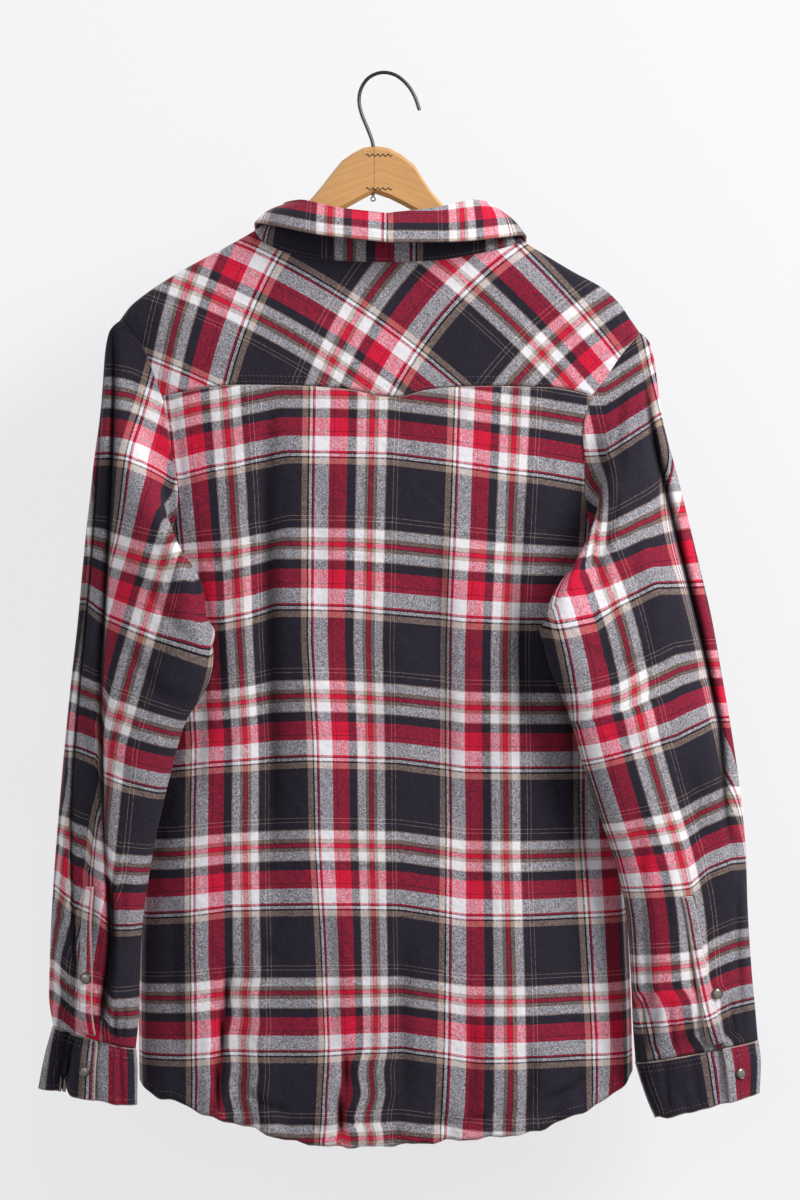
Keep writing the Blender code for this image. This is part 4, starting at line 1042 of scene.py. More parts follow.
def weft_on_marks(grid: Grid, lines: Sequence[Sequence[float]]) -> np.ndarray:
    """Weft repeats over a net whose columns cross lines of across and drop, from the top down."""
    marks = [level(line) for line in lines]
    lengths = grid.lengths(1)
    result = np.zeros(grid.points.shape[:2])
    for column in range(grid.points.shape[0]):
        across, drop = grid.points[column, :, 0], -grid.points[column, :, 2]
        found = []
        for index, mark in enumerate(marks):
            at = crossing(drop - mark(across), lengths[column])
            if at is None:
                at = float(mark(across[:1])[0]) - drop[0]
            found.append((at, TOP_WEFT - index))
        result[column] = lay_on_lines(lengths[column], np.array(sorted(found)))
    return result


def level(line: Sequence[float]) -> Curve:
    """A line through points of across and drop, as a function of across."""
    xs, ys = np.reshape(line, (-1, 2)).T
    order = np.argsort(xs)
    return lambda across: np.interp(across, xs[order], ys[order])


def upright(drops: Sequence[float], values: Sequence[float]) -> Curve:
    """A line through points of drop and across, as a function of drop."""
    def at(drop: np.ndarray) -> np.ndarray:
        """Across position at a drop, carried on straight beyond both ends."""
        start = (values[1] - values[0]) / (drops[1] - drops[0])
        end = (values[-1] - values[-2]) / (drops[-1] - drops[-2])
        inside = np.interp(drop, drops, values) + np.minimum(drop - drops[0], 0.0) * start
        return inside + np.maximum(drop - drops[-1], 0.0) * end

    return at


BACK_WARP = (
    (283, 193.5, 67, -57.6, -177), (386, 181, 68, -54.2, -171), (489, 172, 68, -50.7, -165),
    (575, 167, 62.8, -50.3, -164.3), (661, 167.7, 61, -50.3, -165),
    (747, 167.7, 55.9, -49.5, -170.3), (833, 166.8, 52.5, -48.2, -175.4),
    (885, 166.8, 55, -46, -176.3))
BACK_WEFT = (
    (170.3, 357, 146.2, 350.9, 123.8, 347.4, 102.3, 342.3, 80, 338, 36.1, 338.8, -7.7, 339.7,
    -55.9, 345.7, -104.1, 352.6, -136.7, 356, -174.6, 362.1), (135.9, 481.6, 110.9, 476.4, 90.3,
    469.6, 66.2, 469.6, 27.5, 470.4, 0, 473, -49.9, 477.3, -71.4, 479.9, -115.2, 481.6), (178.9,
    608, 146.2, 603.7, 62.8, 598.1, -16.3, 600.3, -71.4, 608, -169.4, 608.9), (203, 735, 167.7,
    731.9, 128.1, 726.3, 58.5, 724.1, -16.3, 725, -71.4, 733.6, -125.6, 734, -209, 732.7), (207.3,
    855.7, 168.6, 854.8, 128.1, 850.5, 58.5, 849.7, -16.3, 846.2, -49, 850.5, -81.7, 855.7, -169.4,
    854.8),
)
SLEEVE_WARP = {
    "left": ((498, 580, 653), (192.6, 215, 222.7)),
    "right": ((489, 575, 653, 747, 825), (-146.7, -166.1, -186.3, -206.9, -223.2)),
}
SLEEVE_WARP_UNIT = {"left": 685, "right": 0}
SLEEVE_WEFT = {
    "left": (
        (231.3, 339.7, 215.9, 343.1, 203, 348.3, 190, 354.3, 179.7, 360.3), (253.7, 464, 235.6,
        478, 191.8, 496, 147.9, 512), (259.7, 590, 242.5, 596, 238.2, 610, 215.9, 618, 190, 624),
        (277.8, 710, 262.3, 723, 239.9, 730, 229.6, 741, 215.9, 741),
    ),
    "right": (
        (-192.6, 337.1, -201.2, 332, -214.1, 323.4, -227, 314.8, -240, 305), (-139.3, 487, -152.2,
        489, -183.2, 481.6, -203, 467, -235.6, 450.6), (-176.3, 600, -191.8, 596, -224.5, 587.4,
        -252.8, 579.6, -283.8, 565), (-209, 708.6, -264, 706, -279.5, 693.2, -299.3, 686.3),
        (-218.4, 825.6, -279.5, 818.7, -299.3, 810, -316.5, 807.5),
    ),
}
FRONT_WEFT = ((0, 361), (0, 482), (0, 608), (0, 732), (0, 855))
FRONT_WARP = 0.30      # the warp's repeat at the middle of the front
TOP_WEFT = -1          # the repeat at the uppermost of each piece's weft lines


class Mark(NamedTuple):
    """A stripe on the yoke's chart: its repeat, its unit and spots that it passes through."""

    repeat: int
    unit: float
    spots: tuple[float, ...]


YOKE_RISING = lines_of(Mark,
    (0, 0, 410, 384, 434, 344, 453, 320, 468, 304, 494, 287, 518, 264, 530, 253), (1, 0, 238, 384,
    250, 344, 258, 327, 266, 302, 274, 284, 286, 264, 293, 249), (-1, 642, 527, 353, 546, 340, 576,
    314, 599, 291), (-1, 475, 541, 371, 559, 353, 589, 330, 612, 307), (0, 290, 361, 389, 383, 353,
    403, 313, 428, 282, 448, 262), (0, 642, 377, 267, 352, 300, 346, 316, 330, 349, 319, 364, 308,
    384), (1, 290, 208, 344, 214, 316, 223, 302, 237, 267, 252, 238), (1, 642, 161, 344, 166, 320,
    171, 293, 183, 273))
YOKE_FALLING = lines_of(Mark,
    (0, 0, 537, 249, 563, 275, 583, 300, 600, 322), (0, 290, 514, 280, 534, 298, 552, 316, 568,
    336, 590, 362), (0, 642, 477, 302, 501, 324, 528, 353, 543, 371), (1, 0, 266, 247, 310, 268,
    332, 284, 354, 298, 398, 323, 430, 347, 468, 386), (1, 290, 237, 267, 274, 291, 310, 313, 350,
    333, 383, 353, 421, 384), (1, 475, 183, 273, 204, 277, 243, 298, 288, 327, 329, 349, 383, 382),
    (1, 642, 171, 293, 196, 298, 234, 318, 283, 344, 321, 367, 341, 376), (1, 755, 154, 300, 177,
    304, 203, 316, 234, 331, 252, 344, 288, 364), (2, 0, 146, 349, 174, 358, 199, 369, 217, 378))


# ---- the shirt's pieces

@dataclass
class Piece:
    """What every sewn piece of the shirt shares."""

    thickness: float = 1.6
    across: int = 4
    down: int = 8

    def sew(self, node: str, finish: Flannel, grid: Grid, plaid: Sequence[np.ndarray],
            rests_on: Sequence[str], folds: np.ndarray | None = None) -> Grid:
        """Makes a piece from its net, with its finish, its place in the frame and its cut.

        Args:
            node: the CAD node it stands for.
            finish: its cloth.
            grid: the net of its middle surface.
            plaid: repeats of the warp and of the weft at each point of the net.
            rests_on: the nodes that hold it; not used.
            folds: how deep each point lies in a fold, for painted shade in the fold.

        Returns:
            The net.
        """
        item = cloth_mesh("shirt_" + node, grid, np.stack(plaid, -1), self.thickness, folds)
        item.data.materials.append(MATERIALS[finish.name])
        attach(item, BODY)
        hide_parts(node)
        return grid


@dataclass
class Yoke(Piece):
    """The bias-cut piece over both shoulders, from the neck seam to the back and front seams."""

    across: int = 3
    down: int = 6
    wrap: float = 0.8

    def net(self) -> Grid:
        """The yoke's net."""
        outline = TORSO.yoke_outline()
        turns = TORSO.yoke_turns
        columns = len(outline) - 1

        def place(column: int, row: int) -> Vector:
            """A point between the neck seam and the outer edge."""
            neck = TORSO.neck(turns[column])
            neck = (TORSO.around(neck[0], column < columns / 2), neck[1])
            part = row / TORSO.yoke_rows
            return TORSO.point(*mix(Vector(neck), Vector(outline[column]), part))

        return Grid.placed(columns, TORSO.yoke_rows, place)

    def unfolded(self, grid: Grid) -> np.ndarray:
        """Across and drop of the yoke from the back, with its front turned up over the ridge."""
        slopes = {side: sorted((abs(getattr(row, name)), row.drop) for row in TORSO_ROWS
                               if row.drop <= TORSO.tip(side)) for name, side in SIDES.items()}
        flat = np.zeros((*grid.points.shape[:2], 2))
        for index in np.ndindex(grid.points.shape[:2]):
            x, y, z = grid.points[index]
            flat[index] = x, -z
            if y < 0:
                line = slopes[1 if x > 0 else -1]
                outs, drops = [row[0] for row in line], [row[1] for row in line]
                slope = atan2(drops[-1] - drops[0], outs[-1] - outs[0])
                gap = (-z - float(np.interp(abs(x), outs, drops))) * cos(slope)
                normal = np.array((-copysign(sin(slope), x), cos(slope)))
                flat[index] -= (2 * gap + self.wrap * abs(y)) * normal
        return flat

    @staticmethod
    def charted(marks: Sequence[Mark], flat: np.ndarray) -> np.ndarray:
        """Repeats from a chart's marked stripes, through a smooth second-degree surface."""
        def powers(across: np.ndarray, drop: np.ndarray) -> np.ndarray:
            """The terms of the surface."""
            x, y = across / 200, (drop - 220) / 100
            return np.stack([np.ones_like(x), x, y, x * x, x * y, y * y], axis=-1)

        spots = np.concatenate([chart_spots(mark.spots) for mark in marks])
        repeats = [mark.repeat + mark.unit / UNITS for mark in marks
                   for _ in mark.spots[::2]]
        terms = np.linalg.lstsq(powers(*spots.T), np.array(repeats), rcond=None)[0]
        return powers(flat[..., 0], flat[..., 1]) @ terms

    def build(self, finish: Flannel) -> Grid:
        """Builds the yoke and returns its net."""
        grid = self.net().finer(self.across, self.down)
        flat = self.unfolded(grid)
        plaid = [self.charted(marks, flat) for marks in (YOKE_RISING, YOKE_FALLING)]
        return self.sew("yoke", finish, grid, plaid, ["hanger_wood_left", "hanger_wood_right"])


@dataclass
class Panel(Piece):
    """What the back and the fronts share: creases between their seams, and a rippled hem."""

    wrinkles: tuple[Wrinkle, ...] = ()
    seam_reach: float = 22
    hem_reach: float = 45
    hem_depth: float = 1.9

    def creased(self, facing: int) -> tuple[Grid, np.ndarray]:
        """The fine net and how deep its creases are; a back faces 1 and a front -1."""
        grid = self.net().finer(self.across, self.down)
        push = wrinkle_push(grid.points, self.wrinkles)
        push *= edge_fade(grid, self.seam_reach, "top left right")
        grid.points[..., 1] -= facing * push
        ripple(grid, self.hem_reach, self.hem_depth)
        return grid, push


@dataclass
class Back(Panel):
    """The back, from the yoke seam to the hem."""

    body_rows: int = 17
    seam_reach: float = 10

    def net(self) -> Grid:
        """The back's net."""
        arm, columns = TORSO.back_arm_rows, TORSO.back_columns
        rows = arm + self.body_rows
        left = TORSO.side_edge(1, True, TORSO.yoke_corner, arm, rows)
        right = TORSO.side_edge(-1, True, TORSO.yoke_corner, arm, rows)

        def top(u: float) -> Pair:
            """The yoke seam."""
            angle = TORSO.across_back(u * columns, left(0)[0], right(0)[0])
            return angle, TORSO.seam_drop(angle)

        def bottom(u: float) -> Pair:
            """The hem."""
            angle = TORSO.across_back(u * columns, 0.0, pi)
            return angle, read(BACK_HEM, "drop", TORSO.point(angle, TORSO.hem_drop).x)

        def place(column: int, row: int) -> Vector:
            """A point of the back."""
            angle, drop = panel(top, bottom, left, right, TORSO.back_spread, column / columns,
                                row / rows)
            return TORSO.point(angle, drop + (TORSO.seam if row == 0 else 0))

        return Grid.placed(columns, rows, place)

    def build(self, finish: Flannel) -> Grid:
        """Builds the back and returns its net."""
        grid, push = self.creased(1)
        drops, *lines = np.transpose(BACK_WARP)
        lines = [upright(drops, line) for line in lines]
        warp = warp_on_marks(grid, lines, 0.0, 1, REPEAT)
        weft = weft_on_marks(grid, BACK_WEFT)
        rests_on = ["yoke", "front_left", "front_right"]
        return self.sew("back", finish, grid, [warp, weft], rests_on, push)


@dataclass
class Front(Panel):
    """A front: its top runs along the neck to the yoke, then along the yoke to the armhole."""

    name: str = "left"
    body_rows: int = 16
    yoke_seam_step: float = 0.9
    side_seam_step: float = 1.0

    def net(self) -> Grid:
        """The front's net."""
        side, columns, arm_rows = SIDES[self.name], TORSO.front_columns, TORSO.front_arm_rows
        rows, neck_columns = arm_rows + self.body_rows, columns - TORSO.yoke_rows
        outer = TORSO.side_edge(side, False, TORSO.yoke_front, arm_rows, rows)
        edge = TORSO.front_edge + side * TORSO.seam / 2
        turns = TORSO.front_turns(side)
        corner, centre = TORSO.neck(side * TORSO.neck_yoke_turn), TORSO.neck(turns[0])
        arm = TORSO.armhole(side, TORSO.yoke_front, False)

        def top(u: float) -> Pair:
            """The neck seam, then the yoke seam."""
            column = round(u * columns)
            if column <= neck_columns:
                return TORSO.neck(turns[column])
            part = (column - neck_columns) / TORSO.yoke_rows
            return tuple(mix(Vector(corner), Vector(arm), part))

        def bottom(u: float) -> Pair:
            """The hem."""
            start = cos(TORSO.angle(edge, TORSO.hem_drop, False))
            angle = -acos(mix(start, side, TORSO.front_spread(u)))
            return angle, TORSO.front_hem(TORSO.point(angle, TORSO.hem_drop).x)

        def middle(v: float) -> Pair:
            """The edge under the placket."""
            drop = mix(centre[1], TORSO.front_hem(edge), v)
            return TORSO.angle(edge, drop, False), drop

        def place(column: int, row: int) -> Vector:
            """A point of the front."""
            angle, drop = panel(top, bottom, middle, outer, TORSO.front_spread, column / columns,
                                row / rows)
            point = TORSO.point(-angle, drop)
            if row == 0 and column >= neck_columns:
                point += (place(column, 1) - point).normalized() * self.yoke_seam_step
            if column == columns and row > arm_rows - 1:
                point.y -= self.side_seam_step
            return point

        return Grid.placed(columns, rows, place)

    def build(self, finish: Flannel) -> Grid:
        """Builds the front and returns its net."""
        grid, push = self.creased(-1)
        warp = FRONT_WARP + (grid.points[0, :, 0] - TORSO.middle) / REPEAT
        warp = warp + SIDES[self.name] * grid.lengths(0) / REPEAT
        weft = weft_on_marks(grid, FRONT_WEFT)
        return self.sew("front_" + self.name, finish, grid, [warp, weft], ["yoke", "back"], push)


@dataclass
class FrontPlacket(Piece):
    """The doubled strip down the front, which carries the snaps."""

    thickness: float = 2.4
    half: float = 17
    start: float = 1.6
    lift: float = 2.4
    columns: int = 3
    rows: int = 20

    def snap_seat(self, drop: float) -> Seat:
        """Where a snap sits, and the direction that it faces."""
        out = Vector((0, -1, 0))
        lift = self.lift + self.thickness / 2
        return TORSO.front_point(TORSO.middle, drop) + out * lift, out

    def build(self, finish: Flannel) -> Grid:
        """Builds the placket and returns its net."""
        def place(column: int, row: int) -> Vector:
            """A point of the placket."""
            across = TORSO.middle + self.half * mix(-1, 1, column / self.columns)
            turn = 180 - degrees(asin((across - TORSO.middle) / TORSO.neck_half))
            start = TORSO.neck(turn)[1] + self.start
            point = TORSO.front_point(across, mix(start, TORSO.front_hem(across), row / self.rows))
            point.y -= self.lift
            return point

        grid = Grid.placed(self.columns, self.rows, place).finer(4, self.down)
        warp = FRONT_WARP + grid.lengths(0) / REPEAT - self.half / REPEAT
        weft = weft_on_marks(grid, FRONT_WEFT)
        rests_on = ["front_left", "front_right"]
        return self.sew("front_placket", finish, grid, [warp, weft], rests_on)


# ---- collar

@dataclass
class CollarForm:
    """The rings that both the stand and the leaf of the collar follow."""

    fold_middle: float = -5
    leaf_middle: float = -8
    leaf_tilt: float = 5.5
    leaf_end: float = 178
    stand_lap: float = 187
    fold_radius: float = 3.2
    stand_gap: float = 2.2
    stand_start: float = 1.0
    lap_lift: float = 3.8
    lap_start: float = 148
    lap_run: float = 12
    leaf_bow: float = 2.5
    bow_up: float = 0.6
    stand_rows: int = 3
    leaf_arc: tuple[float, ...] = (180, 125, 70, 20)
    fall_rows: int = 4

    @property
    def stand_turns(self) -> list[float]:
        """Turns of the stand's columns."""
        lap = self.stand_lap
        return ([lap, 181] + TORSO.front_turns(1) + TORSO.yoke_turns[1:-1]
                + TORSO.front_turns(-1)[::-1] + [-lap])

    @property
    def leaf_turns(self) -> list[float]:
        """Turns of the leaf's columns."""
        inner = [turn for turn in self.stand_turns if abs(turn) < self.leaf_end - 4]
        return [self.leaf_end] + inner + [-self.leaf_end]

    def ring_point(self, rows: Sequence[Ring], middle: float, turn: float) -> Vector:
        """A point on one of the rings."""
        wrapped = (turn + 180) % 360 - 180
        side = 1 if sin(radians(turn)) >= 0 else -1
        across = read(rows, "across", abs(wrapped))
        if abs(turn) > 180:
            past = (abs(turn) - 180) / (self.stand_lap - 180)
            across = past * TORSO.neck_half * sin(radians(self.stand_lap - 180))
        depth = read(rows, "depth", abs(wrapped))
        return Vector((middle + side * across, depth, -read(rows, "drop", abs(wrapped))))

    def lift(self, turn: float) -> float:
        """How far the left end stands out, where it lies on the right end."""
        return self.lap_lift * smooth_step((turn - self.lap_start) / self.lap_run)

    def fold_frame(self, turn: float) -> Station:
        """The fold line's point, the level direction out of the ring, and what is upright."""
        fold = self.ring_point(FOLD_RING, self.fold_middle, turn)
        before, after = (self.ring_point(FOLD_RING, self.fold_middle, turn + step)
                         for step in (-1, 1))
        run = after - before
        out = Vector((-run.y, run.x, 0.0)).normalized()
        out = out if out.dot(Vector((fold.x, fold.y, 0))) > 0 else -out
        up = out.cross(run).normalized()
        return fold, out, up if up.z > 0 else -up

    def stand(self, turn: float, up: float) -> Vector:
        """A point of the stand, from 0 at the neck seam to 1 under the fold."""
        neck = TORSO.point(*TORSO.neck(turn))
        fold, _, upright_ = self.fold_frame(turn)
        top = fold - upright_ * (self.fold_radius + self.stand_gap)
        start = neck + (top - neck).normalized() * self.stand_start
        point = mix(start, top, up)
        point.y -= self.lift(turn)
        return point

    def leaf(self, turn: float, row: int) -> Vector:
        """A point of the leaf, from the stand's top, over the fold, to the free edge."""
        fold, out, upright_ = self.fold_frame(turn)
        fold.y -= self.lift(turn) if turn > 0 else self.lift(-turn) / 2
        angle = radians(self.leaf_arc[min(row, len(self.leaf_arc) - 1)])
        bend = fold + (out * (1 + cos(angle)) + upright_ * (sin(angle) - 1)
                       ) * self.fold_radius
        down = (row - len(self.leaf_arc) + 1) / self.fall_rows
        if down <= 0:
            return bend
        edge = self.ring_point(LEAF_RING, self.leaf_middle, turn)
        edge.z += self.leaf_tilt * sin(radians(turn))
        bow = self.leaf_bow * sin(pi * down)
        return mix(bend, edge, down) + (out + Vector((0, 0, self.bow_up))) * bow


@dataclass
class Collar(Piece):
    """The stand and the leaf that turns down over it."""

    thickness: float = 2.4
    form: CollarForm = field(default_factory=CollarForm)
    stand_repeat: float = 131
    leaf_repeat: float = 114
    stand_mark: float = -36.1
    leaf_mark: float = -10.6
    leaf_edge_unit: float = 535
    stand_weft: float = 0.80
    tuck_in: float = 2.2

    def snap_seat(self) -> Seat:
        """Where the stand's snap sits, and the direction that it faces."""
        out = Vector((0, -1, 0))
        normal = surface_normal(lambda turn, up: self.form.stand(turn * 60, up), 3.0, 0.5, out)
        return self.form.stand(180, 0.5) + normal * self.thickness / 2, normal

    def stripes(self, grid: Grid, mark: float, repeat: float) -> np.ndarray:
        """Warp repeats round the collar from a mark across the middle of its back."""
        lengths = grid.lengths(0)
        count = grid.points.shape[0]
        warp = np.zeros(grid.points.shape[:2])
        low, high = int(count * 0.3), int(count * 0.7)
        for row in range(grid.points.shape[1]):
            at = crossing(grid.points[low:high, row, 0] - mark, lengths[low:high, row])
            warp[:, row] = (at - lengths[:, row]) / repeat
        return warp

    def build(self, finish: Flannel) -> tuple[Grid, Grid]:
        """Builds both and returns their nets."""
        form = self.form
        turns = form.stand_turns
        stand = Grid.placed(len(turns) - 1, form.stand_rows,
                            lambda column, row: form.stand(turns[column], row / form.stand_rows))
        stand = stand.finer(self.across, self.down)
        stand.reach_on(self.tuck_in)
        weft = self.stand_weft + stand.lengths(1) / REPEAT
        warp = self.stripes(stand, self.stand_mark, self.stand_repeat)
        rests_on = ["yoke", "front_left", "front_right"]
        self.sew("collar_stand", finish, stand, [warp, weft], rests_on)

        leaf_turns = form.leaf_turns
        rows = len(form.leaf_arc) - 1 + form.fall_rows
        leaf = Grid.placed(len(leaf_turns) - 1, rows,
                           lambda column, row: form.leaf(leaf_turns[column], row))
        leaf = leaf.finer(self.across, self.down)
        lengths = leaf.lengths(1)
        weft = self.leaf_edge_unit / UNITS - (lengths[:, -1:] - lengths) / REPEAT
        warp = self.stripes(leaf, self.leaf_mark, self.leaf_repeat)
        return stand, self.sew("collar", finish, leaf, [warp, weft], ["collar_stand", "yoke"])


# ---- sleeves and cuffs

@dataclass
class SleeveForm:
    """The form of one sleeve: a ring at the armhole, then sections down to the cuff."""

    name: str
    power: float = 2.3
    cap_blend: float = 0.25
    cap_reach: float = 20
    beside: float = 207
    beside_depth: float = -8
    beside_from: float = 424
    beside_to: float = 476
    underarm_turn: float = 0.05
    belly_across: float = 0.36
    belly_width: float = 0.26
    step: float = 1.6
    lap: float = 2.15
    lead_share: float = 0.5
    lead_down: float = 0.35
    inside_yoke: float = 0.96
    inside_panel: float = 0.04
    past_underarm: float = 0.49
    beside_gap: float = 9
    alongs: tuple[float, ...] = (0, 0.03, 0.065, 0.10, 0.14, 0.18, 0.22, 0.27, 0.33, 0.39, 0.45,
                                 0.51, 0.57, 0.63, 0.70, 0.77, 0.84, 0.90, 0.95, 1.0)

    @property
    def side(self) -> int:
        """1 on the left and -1 on the right."""
        return SIDES[self.name]

    def section(self, along: float, turn: float) -> Vector:
        """A point well below the armhole; the turn is 0 at the outer edge."""
        rows = SLEEVES[self.name]

        def beside(inn: Vector, drop: float) -> Vector:
            """Above the underarm the front wall's inner edge stays beside the torso."""
            free = (drop - self.beside_from) / (self.beside_to - self.beside_from)
            free = min(max(free, 0.0), 1.0)
            across = mix(self.beside * self.side, inn.x, smooth_step(free * free))
            return Vector((across, mix(self.beside_depth, inn.y, 1 - (1 - free) ** 2), inn.z))

        base, axis, height, side = section(rows, along, turn, self.power, beside)
        across = (1 - cos(turn)) / 2
        if side < 0:
            swell = exp(-((across - self.belly_across) / self.belly_width) ** 2)
            belly = read(rows, "belly", along)
            height += belly * superellipse(cos(turn), 2) * swell
        for crease in SLEEVE_CREASES[self.name]:
            t = (along - crease.along0) / (crease.along1 - crease.along0)
            if crease.side == side and 0 < t < 1:
                line = mix(crease.across0, crease.across1, t)
                fade = (1 - (2 * t - 1) ** 4) * superellipse(cos(turn), 4)
                height -= crease.depth * fade * exp(-((across - line) / crease.width) ** 2)
        return base + axis * height * side

    def leading_out(self, tangent: Vector) -> Vector:
        """The direction in which the cloth leaves the armhole."""
        lead = tangent * self.lead_share
        lead.y = max(lead.y, 0.0)
        return (lead + Vector((self.side, 0, -self.lead_down))).normalized()

    def ring(self) -> list[Station]:
        """Round the armhole from the tip by way of the back: point, way out and first step."""
        side = self.side
        outline = TORSO.yoke_outline()[::side]
        turns = TORSO.yoke_turns
        count = TORSO.yoke_arm_front + TORSO.yoke_arm_back

        def on_yoke(index: int) -> Station:
            """A station on the yoke."""
            neck = TORSO.neck(turns[index if side > 0 else len(turns) - 1 - index])
            neck = (TORSO.around(neck[0], side > 0), neck[1])
            inside = TORSO.point(*mix(Vector(neck), Vector(outline[index]), self.inside_yoke))
            point = TORSO.point(*outline[index])
            tangent = (point - inside).normalized()
            out = self.leading_out(tangent)
            return point, out, out * (TORSO.seam + self.step * tangent.cross(out).length)

        def on_panel(drop: float, back: bool) -> Station:
            """A station on the back or a front."""
            angle, drop = TORSO.armhole(side, drop, back)
            point = TORSO.point(angle, drop)
            middle = pi / 2 if back else -pi / 2
            inside = TORSO.point(mix(angle, middle, self.inside_panel), drop)
            tangent = (point - inside).normalized()
            face = surface_normal(TORSO.point, angle, drop, (side, 0.3 if back else -0.3, 0))
            return point, self.leading_out(tangent), face * self.lap

        back = [on_yoke(index) for index in range(TORSO.yoke_arm_front, count + 1)]
        back += [on_panel(drop, True)
                 for drop in TORSO.arm_drops(TORSO.yoke_corner, TORSO.back_arm_rows)[1:]]
        front = [on_panel(drop, False)
                 for drop in TORSO.arm_drops(TORSO.yoke_front, TORSO.front_arm_rows)[-2::-1]]
        return back + front + [on_yoke(index) for index in range(1, TORSO.yoke_arm_front)]

    def net(self) -> Grid:
        """The sleeve's net, by column round the armhole and by row down to the cuff."""
        ring = self.ring()
        count = len(ring)
        lengths = [0.0]
        for index in range(count):
            lengths.append(lengths[-1] + (ring[(index + 1) % count][0] - ring[index][0]).length)

        def place(column: int, row: int) -> Vector:
            """A point of the sleeve."""
            along = self.alongs[row]
            part = lengths[column] / lengths[-1]
            point, out, step = ring[column % count]
            turn = 2 * pi * part
            turn += self.underarm_turn * pi * sin(pi * part) ** 2
            start, reach = point + step, self.cap_reach
            if part > self.past_underarm:
                reach = max(reach, self.beside + self.beside_gap - self.side * point.x)
            blend = smooth_step(along / self.cap_blend)
            leaving = mix(start, start + out * reach, blend)
            arriving = mix(start + out * reach, self.section(along, turn), blend)
            return mix(leaving, arriving, blend)

        return Grid.placed(count, len(self.alongs) - 1, place, closed=True)


def section(rows: Sequence[Section], at: float, turn: float, power: float,
            beside: Callable[[Vector, float], Vector] | None = None
            ) -> tuple[Vector, Vector, float, int]:
    """A point round a sleeve's or a cuff's section.

    Args:
        rows: the table of sections.
        at: the section's place in it.
        turn: 0 at the outer edge and half a turn at the inner edge, by way of the back.
        power: the section's roundness.
        beside: moves the inner edge, for the front wall alone.

    Returns:
        The point between the edges, the direction of the depth, the half depth and its side.
    """
    out, inn = (Vector((read(rows, edge, at), read(rows, edge + "_y", at),
                        -read(rows, edge + "_drop", at))) for edge in ("out", "inn"))
    cosine = cos(turn)
    side = 1 if sin(turn) >= 0 else -1
    if beside and side < 0:
        inn = beside(inn, -mix(out, inn, (1 - cosine) / 2).z)
    chord = (inn - out).normalized()
    axis = (Vector((0, 1, 0)) - chord * chord.y).normalized()
    height = superellipse(cosine, power) * read(rows, "back" if side > 0 else "front", at)
    return mix(out, inn, (1 - cosine) / 2), axis, height, side


@dataclass
class SleevePiece(Piece):
    """One sleeve."""

    across: int = 7
    down: int = 9
    name: str = "left"
    repeat: float = 132
    tuck_in: float = 2.4
    cap_from: float = 320
    cap_to: float = 430
    seam_reach: float = 14
    facing_gain: float = 1.6
    front_share: float = -0.35
    wrinkles: tuple[Wrinkle, ...] = ()
    tucks: tuple[Tuck, ...] = ()

    def build(self, finish: Flannel) -> Grid:
        """Builds the sleeve and returns its net."""
        grid = SleeveForm(self.name).net().finer(self.across, self.down)
        half = grid.points.shape[0] // 2
        grid.reach_on(self.tuck_in)
        facing = np.clip(np.abs(grid.normals()[..., 1]) * self.facing_gain, 0, 1)
        depth = wrinkle_push(grid.points, self.wrinkles)
        depth *= edge_fade(grid, self.seam_reach, "top bottom")
        depth[half:] *= self.front_share
        grid.points[..., 1] -= depth * facing
        sign = SIDES[self.name]
        line = upright(*SLEEVE_WARP[self.name])
        warp = warp_on_marks(grid, [line], SLEEVE_WARP_UNIT[self.name] / UNITS, sign, self.repeat,
                             half + 2)
        weft = weft_on_marks(grid, SLEEVE_WEFT[self.name])
        x, drop = grid.points[..., 0].copy(), -grid.points[..., 2]
        edge = sign * np.max(sign * x[:half], axis=0)
        x[half:] = (2 * edge - x)[half:]
        drops = np.linspace(drop.min(), drop.max(), 200)
        lean = cos(atan2(float(line(self.cap_to) - line(self.cap_from)),
                                   self.cap_to - self.cap_from))
        flat_warp = SLEEVE_WARP_UNIT[self.name] / UNITS + (
            np.interp(drop, drops, line(drops)) - x) * lean / REPEAT
        flat_weft = TOP_WEFT + (level(SLEEVE_WEFT[self.name][0])(x) - drop) * lean / REPEAT
        t = smooth_step((drop - self.cap_from) / (self.cap_to - self.cap_from))
        warp, weft = flat_warp * (1 - t) + warp * t, flat_weft * (1 - t) + weft * t
        for tuck in self.tucks:
            spots = chart_spots(tuck.spots)
            outside = sign * (x - np.interp(drop, spots[:, 1], spots[:, 0]))
            begun = np.clip((drop - spots[0, 1]) / tuck.opening, 0.0, 1.0)
            hidden = tuck.hidden * begun * np.clip(outside / tuck.fold + 0.5, 0.0, 1.0)
            warp[:half] -= hidden[:half] / REPEAT
        return self.sew("sleeve_" + self.name, finish, grid, [warp, weft], ["yoke", "back"], depth)


def turn_at(across: float) -> float:
    """Turn round the back of a section, from how far across it lies."""
    return acos(1 - 2 * across)


